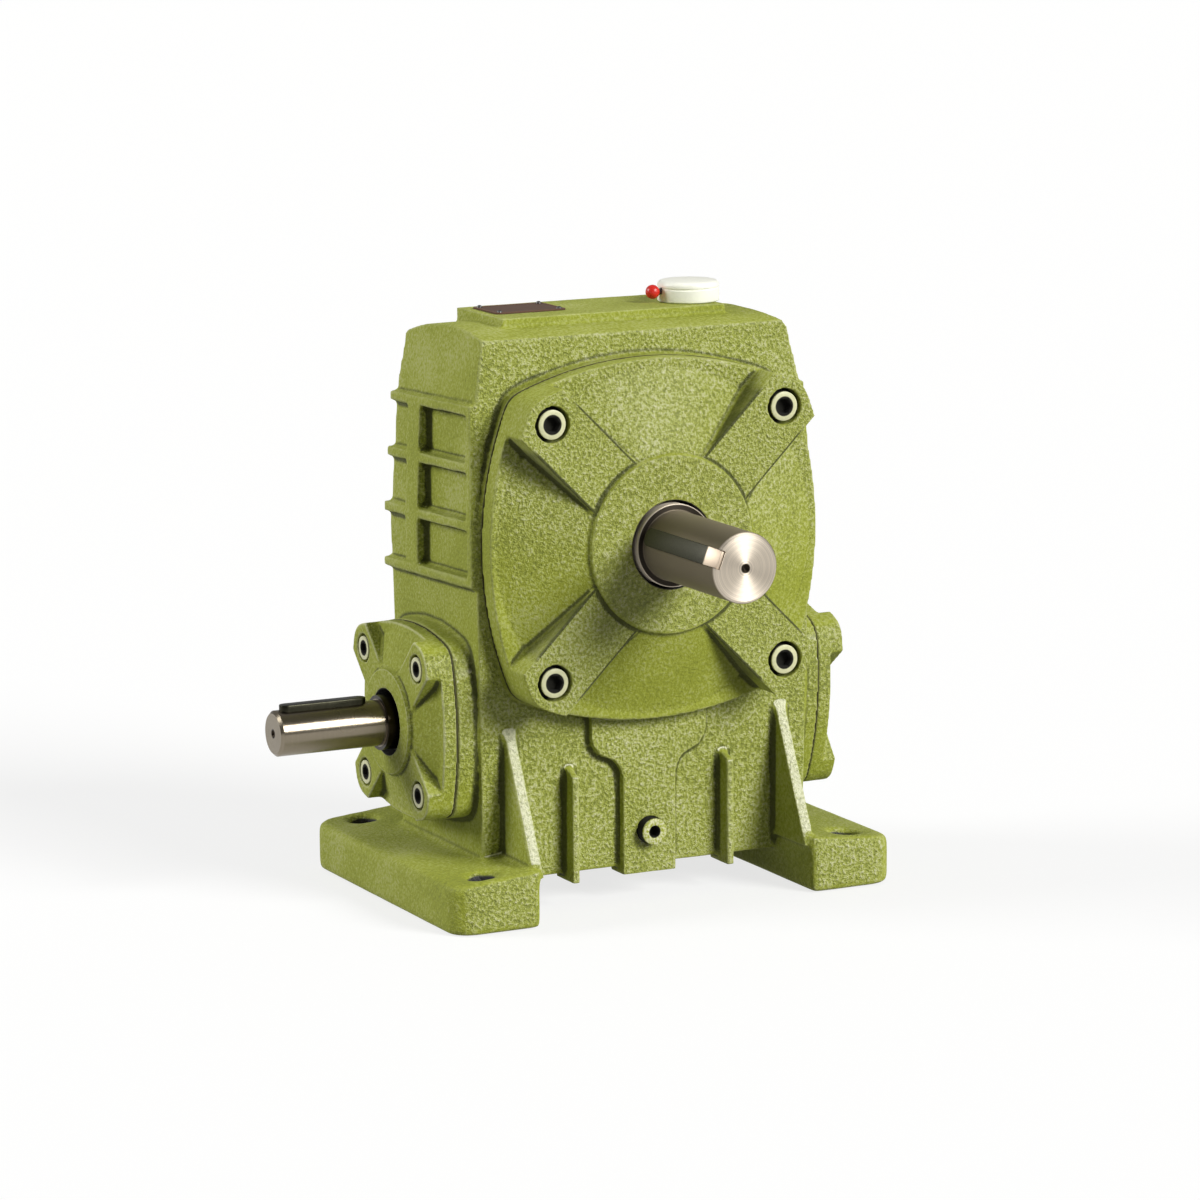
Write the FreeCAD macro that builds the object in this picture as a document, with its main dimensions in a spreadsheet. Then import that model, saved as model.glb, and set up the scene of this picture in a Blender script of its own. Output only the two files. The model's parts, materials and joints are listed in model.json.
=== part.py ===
import FreeCAD, Part
import math
import os

import Sketcher
from FreeCAD import Placement, Rotation, Vector

# A foot-mounted worm gear reducer with the worm under the wheel, in millimetres.
# X runs along the worm, with the input shaft towards -X. Y runs along the output shaft, which comes
# out towards -Y. Z is up. The origin is the middle of the four foot bolts, on the plane of the feet.

# Driving sizes: alias, value, meaning
SIZES = (
    ("gear_module", 5, "axial module of the gear pair"),
    ("wheel_teeth", 30, "teeth on the wheel, for the worm's single thread"),
    ("worm_pitch_diameter", 50, "pitch diameter of the worm"),
    ("pressure_angle", 20, "flank angle of the thread in an axial section"),
    ("tip_clearance", 1, "gap between each tooth tip and the root it runs in"),
    ("flank_gap", 0.3, "running gap on each flank of the thread"),
    ("thread_length", 100, "threaded length of the worm"),
    ("wheel_face", 40, "width of the toothed rim"),
    ("rim_rise", 3.75, "outside radius of the rim above its throat"),
    ("rim_wall", 7, "bronze left under the tooth roots"),
    ("wheel_seat_diameter", 50, "output shaft where the wheel sits"),
    ("wheel_seat_length", 60, "length of the wheel's hub"),
    ("hub_wall", 15, "wall of the hub round the shaft"),
    ("hub_ring_wall", 8, "wall of the hub's outer ring under the rim"),
    ("web_thickness", 14, "web between the hub and its ring"),
    ("web_hole_diameter", 16, "lightening holes in the web"),
    ("web_hole_count", 6, "number of lightening holes"),
    ("worm_height", 100, "worm axis above the feet"),
    ("worm_bearing_bore", 30, "worm shaft at its bearings"),
    ("worm_bearing_outside", 62, "outside diameter of the worm bearings"),
    ("worm_bearing_width", 17, "width of the worm bearings"),
    ("worm_race_wall", 4.1, "ring wall of the worm bearings at mid width"),
    ("worm_bearing_spread", 180, "between the inner ends of the worm bearings"),
    ("output_bearing_bore", 45, "output shaft at its bearings and seal"),
    ("output_bearing_outside", 75, "outside diameter of the output bearings"),
    ("output_bearing_width", 20, "width of the output bearings"),
    ("output_race_wall", 3.7, "ring wall of the output bearings at mid width"),
    ("output_bearing_spread", 114, "between the inner ends of the output bearings"),
    ("roller_tilt", 12, "lean of the rollers towards the shaft"),
    ("roller_bar", 1.7, "room for the cage between neighbouring rollers"),
    ("bearing_rib", 2.2, "width of the ribs that guide the rollers"),
    ("cup_setback", 3, "cup shorter than the bearing at its inner end"),
    ("cone_setback", 1, "cone shorter than the bearing at its outer end"),
    ("cage_wall", 1.2, "sheet thickness of the bearing cages"),
    ("roller_gap", 0.12, "running gap between rollers and races"),
    ("input_diameter", 25, "input shaft"),
    ("input_length", 61.4, "input shaft in front of its shoulder"),
    ("input_shoulder", 4.6, "input journal standing out of its cover"),
    ("output_diameter", 38, "output shaft"),
    ("output_length", 80, "output shaft in front of its shoulder"),
    ("output_shoulder", 2.5, "output journal standing out of its cover"),
    ("shaft_chamfer", 1.5, "chamfer of the shaft ends"),
    ("centre_hole", 4.5, "centre holes in the shaft ends"),
    ("collar_diameter", 56, "collar between the wheel and the front bearing"),
    ("input_key_width", 8, "input key"),
    ("input_key_height", 7, "input key"),
    ("input_key_length", 50, "input key"),
    ("input_key_inset", 4, "input key behind the shaft end"),
    ("output_key_width", 10, "output key"),
    ("output_key_height", 8, "output key"),
    ("output_key_length", 74, "output key"),
    ("output_key_inset", 1, "output key behind the shaft end"),
    ("output_key_ramp", 15, "sloping front end of the output key"),
    ("output_key_drop", 6.2, "fall of the output key's front end"),
    ("output_key_angle", 159, "turn of the output key from +X towards +Z"),
    ("wheel_key_width", 14, "key under the wheel"),
    ("wheel_key_height", 9, "key under the wheel"),
    ("wheel_key_length", 50, "key under the wheel"),
    ("key_depth_share", 0.6, "part of a key's height that is sunk in the shaft"),
    ("seal_width", 8, "width of the shaft seals"),
    ("input_seal_outside", 47, "outside diameter of the input seal"),
    ("output_seal_outside", 62, "outside diameter of the output seal"),
    ("input_opening", 36, "hole in the input cover round the shaft"),
    ("output_opening", 47.5, "hole in the output cover round the shaft"),
    ("press_gap", 0.02, "gap at pressed seats"),
    ("slide_gap", 0.1, "gap of screws in their holes and of keys in their slots"),
    ("lip_gap", 0.15, "gap between a seal lip and its journal"),
    ("waist_half_width", 101, "half width of the housing at the output axis"),
    ("shoulder_half_width", 98, "half width of the housing where its ends start to lean in"),
    ("shoulder_above", 78, "where the ends start to lean in, above the output axis"),
    ("roof_half_width", 92.5, "half width of the housing at its roof"),
    ("belly_half_width", 98, "half width of the housing at its belly"),
    ("front_depth", 57.5, "front face of the housing at the output axis"),
    ("rear_depth", 55, "rear face of the housing at the output axis"),
    ("roof_lean", 8.5, "lean of the front and rear faces up to the roof"),
    ("belly_lean", 3, "lean of the front and rear faces down to the belly"),
    ("roof_above", 115.5, "highest line of the roof above the output axis"),
    ("roof_front_edge", 111, "front edge of the roof above the output axis"),
    ("roof_rear_edge", 106.5, "rear edge of the roof above the output axis"),
    ("roof_arch", 185, "radius of the roof from front to rear"),
    ("roof_corner", 14, "rounding of the roof's end away from the input"),
    ("roof_edge", 4, "rounding of the roof's end over the input"),
    ("belly_height", 18, "underside of the housing above the feet's plane"),
    ("side_wall", 15, "housing wall at its ends"),
    ("front_wall", 14, "housing wall behind the output cover"),
    ("rear_wall", 10, "housing wall at the rear"),
    ("roof_wall", 12, "housing wall at the roof"),
    ("floor_wall", 12, "housing wall at the belly"),
    ("wheel_room", 4.5, "gap between the wheel and the front opening"),
    ("rear_boss_wall", 16, "wall of the boss round the rear bearing"),
    ("rear_boss_taper", 5, "fall in radius of the rear boss over its length"),
    ("closing_cap_thickness", 8, "cap that closes the rear bearing"),
    ("foot_inner", 82, "inner faces of the feet from the middle"),
    ("foot_outer", 134, "outer faces of the feet from the middle"),
    ("foot_length", 190, "feet from front to rear"),
    ("foot_height", 27, "thickness of the feet at their outer faces"),
    ("foot_rise", 4.5, "rise of the feet's tops towards the housing"),
    ("foot_corner", 12, "rounding of the feet's corners"),
    ("bolt_spacing_x", 220, "foot bolts across the housing"),
    ("bolt_spacing_y", 155, "foot bolts from front to rear"),
    ("bolt_hole", 15, "foot bolt holes"),
    ("gusset_offset", 82.5, "gussets from the middle"),
    ("gusset_thickness", 7, "gussets"),
    ("gusset_top", 105, "top of the gussets"),
    ("gusset_reach", 92, "gussets from the middle, at the feet"),
    ("rib_offset", 47, "upright ribs from the middle"),
    ("rib_thickness", 4.5, "upright ribs"),
    ("rib_reach", 11, "upright ribs proud of the wall"),
    ("rib_top", 78, "top of the upright ribs"),
    ("rib_slope", 5, "fall of the ribs' tops"),
    ("skirt_height", 14, "lower ends of the ribs and of the raised panel"),
    ("panel_neck", 35, "half width of the raised panel under the cover"),
    ("panel_stem", 16.5, "half width of the raised panel round the drain"),
    ("panel_shoulder_top", 93, "where the panel starts to narrow"),
    ("panel_shoulder_low", 68, "where the panel has narrowed"),
    ("panel_rise", 5.5, "raised panel proud of the wall"),
    ("side_rib_low", -18, "lowest side rib at the front, from the output axis"),
    ("side_rib_pitch", 30.8, "between side ribs"),
    ("side_rib_count", 4, "number of side ribs"),
    ("side_rib_thickness", 5.5, "side ribs"),
    ("side_rib_rise", 3, "side ribs proud of the wall"),
    ("side_rib_fall", 4, "fall of the side ribs from front to rear"),
    ("window_depth", 7, "side windows below the ribs"),
    ("window_lip", 5, "wall left in front of the windows"),
    ("window_rear", 13, "rear ends of the side windows"),
    ("band_rear", 29, "rear edge of the upright band behind the windows"),
    ("pad_left", 71, "raised pad on the roof, towards the input"),
    ("pad_right", 64, "raised pad on the roof, away from the input"),
    ("pad_half_depth", 29, "raised pad on the roof"),
    ("pad_rise", 4, "raised pad above the roof's highest line"),
    ("plate_width", 42, "nameplate"),
    ("plate_depth", 32, "nameplate"),
    ("plate_thickness", 0.8, "nameplate"),
    ("plate_offset_x", -45, "middle of the nameplate"),
    ("plate_offset_y", 4, "middle of the nameplate"),
    ("rivet_diameter", 3.2, "heads of the nameplate's rivets"),
    ("rivet_height", 1.1, "heads of the nameplate's rivets"),
    ("rivet_inset", 3.2, "rivets from the edges of the nameplate"),
    ("breather_offset_x", 52, "breather"),
    ("breather_offset_y", -8, "breather"),
    ("breather_diameter", 34, "breather cap"),
    ("breather_height", 12, "breather cap"),
    ("breather_stem", 16, "breather stem"),
    ("breather_stem_length", 13, "breather stem"),
    ("vent_plug_diameter", 7.8, "ball of the vent plug"),
    ("vent_stem_diameter", 3.6, "stem of the vent plug"),
    ("vent_plug_gap", 1, "ball of the vent plug off the cap"),
    ("drain_height", 38, "drain plug above the feet's plane"),
    ("drain_diameter", 14.5, "drain plug"),
    ("drain_proud", 6, "drain plug standing out of the panel"),
    ("drain_socket", 6, "hexagon in the drain plug"),
    ("cover_screw_offset", 69.4, "output cover screws from the axis, each way"),
    ("cover_corner", 15.5, "rounding of the output cover round its screws"),
    ("cover_bulge", 13.5, "bow of the output cover's sides"),
    ("cover_flange", 11.5, "flange of the output cover"),
    ("cover_lug_rise", 17.5, "lugs of the output cover above its flange"),
    ("cover_hub_radius", 48.5, "hub of the output cover"),
    ("cover_hub_rise", 2.5, "hub of the output cover above its lugs"),
    ("cover_arm_width", 36, "arms of the output cover"),
    ("cover_dome_margin", 4, "flat rim of the output cover outside its dome"),
    ("cover_recess_wall", 10, "wall of the output cover behind its dome"),
    ("cover_gasket", 0.5, "gasket under the output cover"),
    ("cover_spigot", 6, "length of the output cover's spigot"),
    ("cover_spigot_wall", 8, "wall of the output cover's spigot"),
    ("cover_screw", 10, "output cover screws"),
    ("cover_screw_head", 16, "heads of the output cover screws"),
    ("cover_screw_socket", 8, "hexagons in the output cover screws"),
    ("cover_counterbore", 19.5, "counterbores of the output cover"),
    ("cover_screw_bite", 12, "output cover screws in the housing"),
    ("end_screw_offset", 34.7, "end cover screws from the worm axis, each way"),
    ("end_corner", 13.5, "rounding of the end covers round their screws"),
    ("end_bulge", 4.8, "bow of the end covers' sides"),
    ("end_flange", 8, "flange of the end covers"),
    ("end_lug_rise", 8, "lugs of the end covers above their flange"),
    ("end_hub_radius", 29, "hub of the end covers"),
    ("end_hub_rise", 2.4, "hub of the end covers above their lugs"),
    ("end_arm_width", 25, "arms of the end covers"),
    ("end_dome_margin", 3, "flat rim of the end covers outside their dome"),
    ("end_shim", 0.5, "shims under the end covers"),
    ("end_spigot", 4, "end of the worm bearings behind the boss face"),
    ("end_spigot_wall", 5, "wall of the end covers' spigots"),
    ("end_screw", 8, "end cover screws"),
    ("end_screw_head", 13, "heads of the end cover screws"),
    ("end_screw_socket", 6, "hexagons in the end cover screws"),
    ("end_counterbore", 15.5, "counterbores of the end covers"),
    ("end_screw_bite", 14, "end cover screws in the housing"),
    ("boss_margin", 0.5, "end bosses of the housing beyond their covers"),
    ("far_setback", 3, "end boss away from the input, nearer to the middle than the other"),
    ("far_turn", 8, "turn of the end cover away from the input about the worm, front side down"),
)

TOOTH_SLICES = 7
FLANK_POINTS = 5
SEAL_STANDOFF = 2
CUT_MARGIN = 1

doc = FreeCAD.newDocument("worm_gear_reducer")
sheet = doc.addObject("Spreadsheet::Sheet", "Sizes")
layout = doc.addObject("Spreadsheet::Sheet", "Layout")
pieces = {}


# Sizes that carry their own formula

class Size:
    """A number together with the sheet formula that gives it."""

    def __init__(self, value, text):
        self.value = value
        self.text = text

    def __add__(self, other):
        return Size(self.value + number(other), f"({self.text} + {formula(other)})")

    def __sub__(self, other):
        return Size(self.value - number(other), f"({self.text} - {formula(other)})")

    def __rsub__(self, other):
        return Size(number(other) - self.value, f"({formula(other)} - {self.text})")

    def __mul__(self, other):
        return Size(self.value * number(other), f"({self.text} * {formula(other)})")

    def __truediv__(self, other):
        return Size(self.value / number(other), f"({self.text} / {formula(other)})")

    def __neg__(self):
        return Size(-self.value, f"(0 - {self.text})")

    __radd__ = __add__
    __rmul__ = __mul__


def number(item):
    return item.value if isinstance(item, Size) else item


def formula(item):
    return item.text if isinstance(item, Size) else f"({item})"


def root(item):
    return Size(math.sqrt(item.value), f"sqrt({item.text})")


def tangent(degrees):
    return Size(math.tan(math.radians(degrees.value)), f"tan({degrees.text})")


def whole(item):
    return Size(round(item.value), f"round({item.text})")


def fill_sheet():
    for row, (alias, value, meaning) in enumerate(SIZES, start=1):
        sheet.set(f"A{row}", meaning)
        sheet.set(f"B{row}", str(value))
        sheet.setAlias(f"B{row}", alias)
    doc.recompute()


class Sizes:
    """Driving sizes by alias, and worked-out ones once they are named."""

    def __init__(self):
        self.rows = 0

    def __getattr__(self, alias):
        return Size(float(getattr(sheet, alias)), f"Sizes.{alias}")

    def name(self, alias, size):
        """Keep a worked-out size in the second sheet, so that later formulas stay short."""
        self.rows += 1
        layout.set(f"B{self.rows}", f"={formula(size)}")
        layout.setAlias(f"B{self.rows}", alias)
        setattr(self, alias, Size(number(size), f"Layout.{alias}"))


fill_sheet()
s = Sizes()


def name_layout():
    """Positions and radii that several pieces share."""
    s.name("teeth", whole(s.wheel_teeth))
    s.name("thread_pitch", s.gear_module * math.pi)
    s.name("worm_pitch_radius", s.worm_pitch_diameter / 2)
    s.name("worm_tip_radius", s.worm_pitch_radius + s.gear_module)
    s.name("worm_root_radius", s.worm_pitch_radius - s.gear_module - s.tip_clearance)
    s.name("wheel_pitch_radius", s.gear_module * s.teeth / 2)
    s.name("centre_distance", s.worm_pitch_radius + s.wheel_pitch_radius)
    s.name("output_height", s.worm_height + s.centre_distance)
    s.name("throat_radius", s.worm_pitch_radius - s.gear_module)
    s.name("rim_outer_radius", s.wheel_pitch_radius + s.gear_module + s.rim_rise)
    s.name("rim_inner_radius", s.wheel_pitch_radius - s.gear_module - s.tip_clearance - s.rim_wall)
    s.name("opening_radius", s.rim_outer_radius + s.wheel_room)
    s.name("worm_bearing_inner", s.worm_bearing_spread / 2)
    s.name("worm_bearing_outer", s.worm_bearing_inner + s.worm_bearing_width)
    s.name("boss_face", s.worm_bearing_outer + s.end_spigot)
    s.name("end_seat", s.boss_face + s.end_shim)
    s.name("end_lug_face", s.end_seat + s.end_flange + s.end_lug_rise)
    s.name("end_hub_face", s.end_lug_face + s.end_hub_rise)
    s.name("input_shoulder_at", s.end_hub_face + s.input_shoulder)
    s.name("input_tip", s.input_shoulder_at + s.input_length)
    s.name("output_bearing_inner", s.output_bearing_spread / 2)
    s.name("output_bearing_outer", s.output_bearing_inner + s.output_bearing_width)
    s.name("cover_seat", s.front_depth + s.cover_gasket)
    s.name("cover_lug_face", s.cover_seat + s.cover_flange + s.cover_lug_rise)
    s.name("cover_hub_face", s.cover_lug_face + s.cover_hub_rise)
    s.name("output_shoulder_at", s.cover_hub_face + s.output_shoulder)
    s.name("output_tip", s.output_shoulder_at + s.output_length)
    s.name("wheel_seat_half", s.wheel_seat_length / 2)
    s.name("rear_boss_face", s.output_bearing_outer + s.closing_cap_thickness + s.cone_setback)
    s.name("roof_height", s.output_height + s.roof_above)
    s.name("pad_height", s.roof_height + s.pad_rise)
    s.name("roof_front", s.front_depth - s.roof_lean)
    s.name("belly_front", s.front_depth - s.belly_lean)
    s.name("wall_lean", s.roof_lean / s.roof_front_edge)
    s.name("cavity_half_width", s.waist_half_width - s.side_wall)
    s.name("cavity_front", s.front_depth - s.front_wall)
    s.name("cavity_rear", s.rear_depth - s.rear_wall)
    s.name("panel_front", s.belly_front + s.panel_rise)
    doc.recompute()


# Document helpers

ALONG_X = Rotation(Vector(0, 1, 0), 90)
ALONG_Y = Rotation(Vector(1, 0, 0), -90)
UPRIGHT = Rotation()
FACING = {
    "front": Rotation(Vector(1, 0, 0), 90),
    "side": Rotation(Vector(1, 1, 1), 120),
    "top": Rotation(),
}
NORMAL_AXIS = {"front": "y", "side": "x", "top": "z"}


def bind(item, **sizes):
    for prop, size in sizes.items():
        if isinstance(size, Size):
            item.setExpression(prop, size.text)
        else:
            setattr(item, prop, size)


def place(item, position, rotation=UPRIGHT):
    item.Placement = Placement(Vector(*[number(part) for part in position]), rotation)
    for axis, part in zip("xyz", position):
        if isinstance(part, Size):
            item.setExpression(f"Placement.Base.{axis}", part.text)
    return item


def cylinder(name, radius, length, position, rotation=UPRIGHT):
    item = doc.addObject("Part::Cylinder", name)
    bind(item, Radius=radius, Height=length)
    return place(item, position, rotation)


def cone(name, first_radius, second_radius, length, position, rotation=UPRIGHT):
    item = doc.addObject("Part::Cone", name)
    bind(item, Radius1=first_radius, Radius2=second_radius, Height=length)
    return place(item, position, rotation)


def box(name, low, high):
    item = doc.addObject("Part::Box", name)
    length, width, height = [high[i] - low[i] for i in range(3)]
    bind(item, Length=length, Width=width, Height=height)
    return place(item, low)


def fuse(name, *items):
    item = doc.addObject("Part::MultiFuse", name)
    item.Shapes = list(items)
    item.Refine = True
    return item


def cut(name, base, *tools):
    item = doc.addObject("Part::Cut", name)
    item.Base = base
    item.Tool = tools[0] if len(tools) == 1 else fuse(name + "_tools", *tools)
    item.Refine = True
    return item


def common(name, first, second):
    item = doc.addObject("Part::Common", name)
    item.Base = first
    item.Tool = second
    return item


def group(name, master, placements):
    """Copies of one solid, each a solid of its own."""
    doc.recompute()
    item = doc.addObject("Part::Feature", name)
    shapes = []
    for placement in placements:
        shape = master.Shape.copy()
        shape.Placement = placement.multiply(shape.Placement)
        shapes.append(shape)
    item.Shape = Part.makeCompound(shapes)
    return item


def keep(node, item):
    """Register the finished solid of one piece under its node name."""
    item.Label = node
    pieces[node] = item
    return item


def draw(sketch, points):
    """Close an outline. A point is (across, up); with (radius, turn) added, an arc runs on from it."""
    ends = []
    for index, point in enumerate(points):
        here = Vector(number(point[0]), number(point[1]), 0)
        ahead = points[(index + 1) % len(points)]
        there = Vector(number(ahead[0]), number(ahead[1]), 0)
        if len(point) == 2:
            ends.append((sketch.addGeometry(Part.LineSegment(here, there)), 1, 2))
            continue
        radius, turn = number(point[2]), point[3]
        chord = there - here
        left = Vector(-chord.y, chord.x, 0).normalize() * turn
        rise = math.sqrt(max(radius * radius - chord.Length * chord.Length / 4, 0))
        centre = (here + there) / 2 + left * rise
        first, last = (here, there) if turn > 0 else (there, here)
        start = math.atan2(first.y - centre.y, first.x - centre.x)
        stop = math.atan2(last.y - centre.y, last.x - centre.x)
        if stop < start:
            stop += 2 * math.pi
        arc = Part.ArcOfCircle(Part.Circle(centre, Vector(0, 0, 1), radius), start, stop)
        order = (1, 2) if turn > 0 else (2, 1)
        ends.append((sketch.addGeometry(arc), *order))
    for index, (geometry, _, end) in enumerate(ends):
        ahead, begin, _ = ends[(index + 1) % len(ends)]
        sketch.addConstraint(Sketcher.Constraint("Coincident", geometry, end, ahead, begin))
    for point, (geometry, begin, _) in zip(points, ends):
        for kind, part in (("DistanceX", point[0]), ("DistanceY", point[1])):
            constrain(sketch, Sketcher.Constraint(kind, -1, 1, geometry, begin, float(number(part))), part)
        if len(point) > 2:
            radius = Sketcher.Constraint("Radius", geometry, float(number(point[2])))
            constrain(sketch, radius, point[2])
    return sketch


def constrain(sketch, constraint, size):
    index = sketch.addConstraint(constraint)
    if isinstance(size, Size):
        sketch.setExpression(f"Constraints[{index}]", size.text)


def prism(name, points, facing, start, length):
    """Extrude an outline: front outlines towards -Y, side ones towards +X, top ones towards +Z."""
    sketch = doc.addObject("Sketcher::SketchObject", name + "_outline")
    position = [0, 0, 0]
    position["xyz".index(NORMAL_AXIS[facing])] = start
    place(sketch, position, FACING[facing])
    draw(sketch, points)
    item = doc.addObject("Part::Extrusion", name)
    item.Base = sketch
    item.DirMode = "Normal"
    item.Solid = True
    bind(item, LengthFwd=length)
    return item


def turned(name, points, axis):
    """Turn a profile of (along, radius) points about the worm axis X or the output axis Y."""
    body = doc.addObject("PartDesign::Body", name)
    sketch = body.newObject("Sketcher::SketchObject", name + "_profile")
    plane = [item for item in body.Origin.OriginFeatures if item.Role == "XY_Plane"][0]
    sketch.AttachmentSupport = (plane, [""])
    sketch.MapMode = "FlatFace"
    draw(sketch, points)
    turning = body.newObject("PartDesign::Revolution", name + "_turning")
    turning.Profile = sketch
    turning.ReferenceAxis = (sketch, ["H_Axis"])
    turning.Angle = 360
    if axis == "worm":
        place(body, (0, 0, s.worm_height))
    elif axis == "output":
        place(body, (0, 0, s.output_height), Rotation(Vector(0, 0, 1), 90))
    return body


def ring(name, first, last, inner, outer, axis):
    return turned(name, [(first, inner), (last, inner), (last, outer), (first, outer)], axis)


def diagonal_places(offset, seat, axis):
    """Four placements on a square about a shaft axis, with local Z pointing out of the housing."""
    places = []
    for across in (-1, 1):
        for up in (-1, 1):
            shift = number(offset)
            if axis == "output":
                at = Vector(across * shift, -number(seat), s.output_height.value + up * shift)
                places.append(Placement(at, Rotation(Vector(1, 0, 0), 90)))
            else:
                side = 1 if number(seat) > 0 else -1
                at = Vector(number(seat), across * shift, s.worm_height.value + up * shift)
                places.append(Placement(at, Rotation(Vector(0, 1, 0), 90 * side)))
    return places


def bowed_square(centre_up, screw_offset, corner, bulge):
    """Square outline with bowed sides, rounded round its four screws, as (across, up, radius, turn)."""
    bow = (screw_offset * screw_offset + corner * bulge * 2 + bulge * bulge) / (bulge * 2)
    back = bow - screw_offset - corner - bulge
    reach = (screw_offset + back) * bow / (bow - corner) - back
    side = screw_offset * bow / (bow - corner)
    corners = []
    for flat, steep, across, up in ((0, 1, 1, 1), (1, 0, -1, 1), (0, 1, -1, -1), (1, 0, 1, -1)):
        first = (reach * across, side * up) if flat == 0 else (side * across, reach * up)
        second = (side * across, reach * up) if flat == 0 else (reach * across, side * up)
        corners.append((first[0], first[1] + centre_up, corner, 1))
        corners.append((second[0], second[1] + centre_up, bow, 1))
    return corners


def cap_screw(name, diameter, head, length, socket):
    """Socket head screw that stands on its head seat at the origin, with the head towards +Z."""
    shank = cylinder(name + "_shank", diameter / 2, length, (0, 0, -length))
    crown = cylinder(name + "_head", head / 2, diameter, (0, 0, 0))
    hexagon = doc.addObject("Part::Prism", name + "_socket")
    hexagon.Polygon = 6
    bind(hexagon, Circumradius=socket / math.sqrt(3), Height=diameter)
    place(hexagon, (0, 0, diameter / 2))
    return cut(name, fuse(name + "_blank", shank, crown), hexagon)


def feather_key(name, width, height, length):
    """Round-ended key along X that lies on its underside."""
    straight = length - width
    middle = box(name + "_middle", (-straight / 2, -width / 2, 0), (straight / 2, width / 2, height))
    ends = [
        cylinder(name + "_end" + mark, width / 2, height, (straight / 2 * side, 0, 0))
        for mark, side in (("a", -1), ("b", 1))
    ]
    return fuse(name, middle, *ends)


# Gear pair

def thread_half(radius, gap):
    """Half thickness of the thread along the worm at a radius, widened by a gap."""
    slope = math.tan(math.radians(s.pressure_angle.value))
    return s.thread_pitch.value / 4 + gap - (radius - s.worm_pitch_radius.value) * slope


def worm_thread():
    """Helical thread, cut off square at both ends."""
    pitch = s.thread_pitch
    start = -math.ceil((s.thread_length.value / 2 + pitch.value) / pitch.value)
    to_worm = Rotation(Vector(0, 0, 1), Vector(0, -1, 0), Vector(1, 0, 0), "ZXY")
    helix = doc.addObject("Part::Helix", "thread_helix")
    bind(helix, Pitch=pitch, Height=pitch * (-2 * start), Radius=s.worm_pitch_radius)
    place(helix, (pitch * start, 0, s.worm_height), to_worm)
    inner = s.worm_root_radius - CUT_MARGIN
    outer = s.worm_tip_radius
    slope = tangent(s.pressure_angle)
    half_in = pitch / 4 + (s.worm_pitch_radius - inner) * slope
    half_out = pitch / 4 - (outer - s.worm_pitch_radius) * slope
    profile = doc.addObject("Sketcher::SketchObject", "thread_profile")
    place(profile, (pitch * start, 0, s.worm_height), FACING["front"])
    draw(profile, [(-half_in, inner), (half_in, inner), (half_out, outer), (-half_out, outer)])
    sweep = doc.addObject("Part::Sweep", "thread_sweep")
    sweep.Sections = [profile]
    sweep.Spine = (helix, ["Edge1"])
    sweep.Solid = True
    sweep.Frenet = True
    trim = cylinder("thread_trim", s.worm_pitch_diameter, s.thread_length,
                    (-s.thread_length / 2, 0, s.worm_height), ALONG_X)
    return common("thread", sweep, trim)


def worm_shaft():
    seat = s.worm_bearing_bore / 2
    tip = s.input_diameter / 2
    hole = s.centre_hole / 2
    far_end = s.worm_bearing_outer - s.cone_setback
    core = turned("worm_core", [
        (hole - s.input_tip, 0), (far_end, 0),
        (far_end, seat - s.shaft_chamfer), (far_end - s.shaft_chamfer, seat),
        (s.worm_bearing_inner, seat), (s.worm_bearing_inner, s.worm_root_radius),
        (-s.worm_bearing_inner, s.worm_root_radius), (-s.worm_bearing_inner, seat),
        (-s.input_shoulder_at, seat), (-s.input_shoulder_at, tip),
        (s.shaft_chamfer - s.input_tip, tip), (-s.input_tip, tip - s.shaft_chamfer),
        (-s.input_tip, hole),
    ], "worm")
    solid = fuse("worm_solid", core, worm_thread())
    slot = feather_key("input_slot", s.input_key_width + s.slide_gap * 2, s.input_key_height,
                       s.input_key_length + s.slide_gap * 2)
    place(slot, input_key_seat())
    return keep("worm_shaft", cut("worm_shaft", solid, slot))


def input_key_seat():
    middle = s.input_key_inset + s.input_key_length / 2 - s.input_tip
    return middle, 0, s.worm_height + s.input_diameter / 2 - s.input_key_height * s.key_depth_share


def input_key():
    key = feather_key("input_key", s.input_key_width, s.input_key_height, s.input_key_length)
    return keep("input_key", place(key, input_key_seat()))


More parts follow.
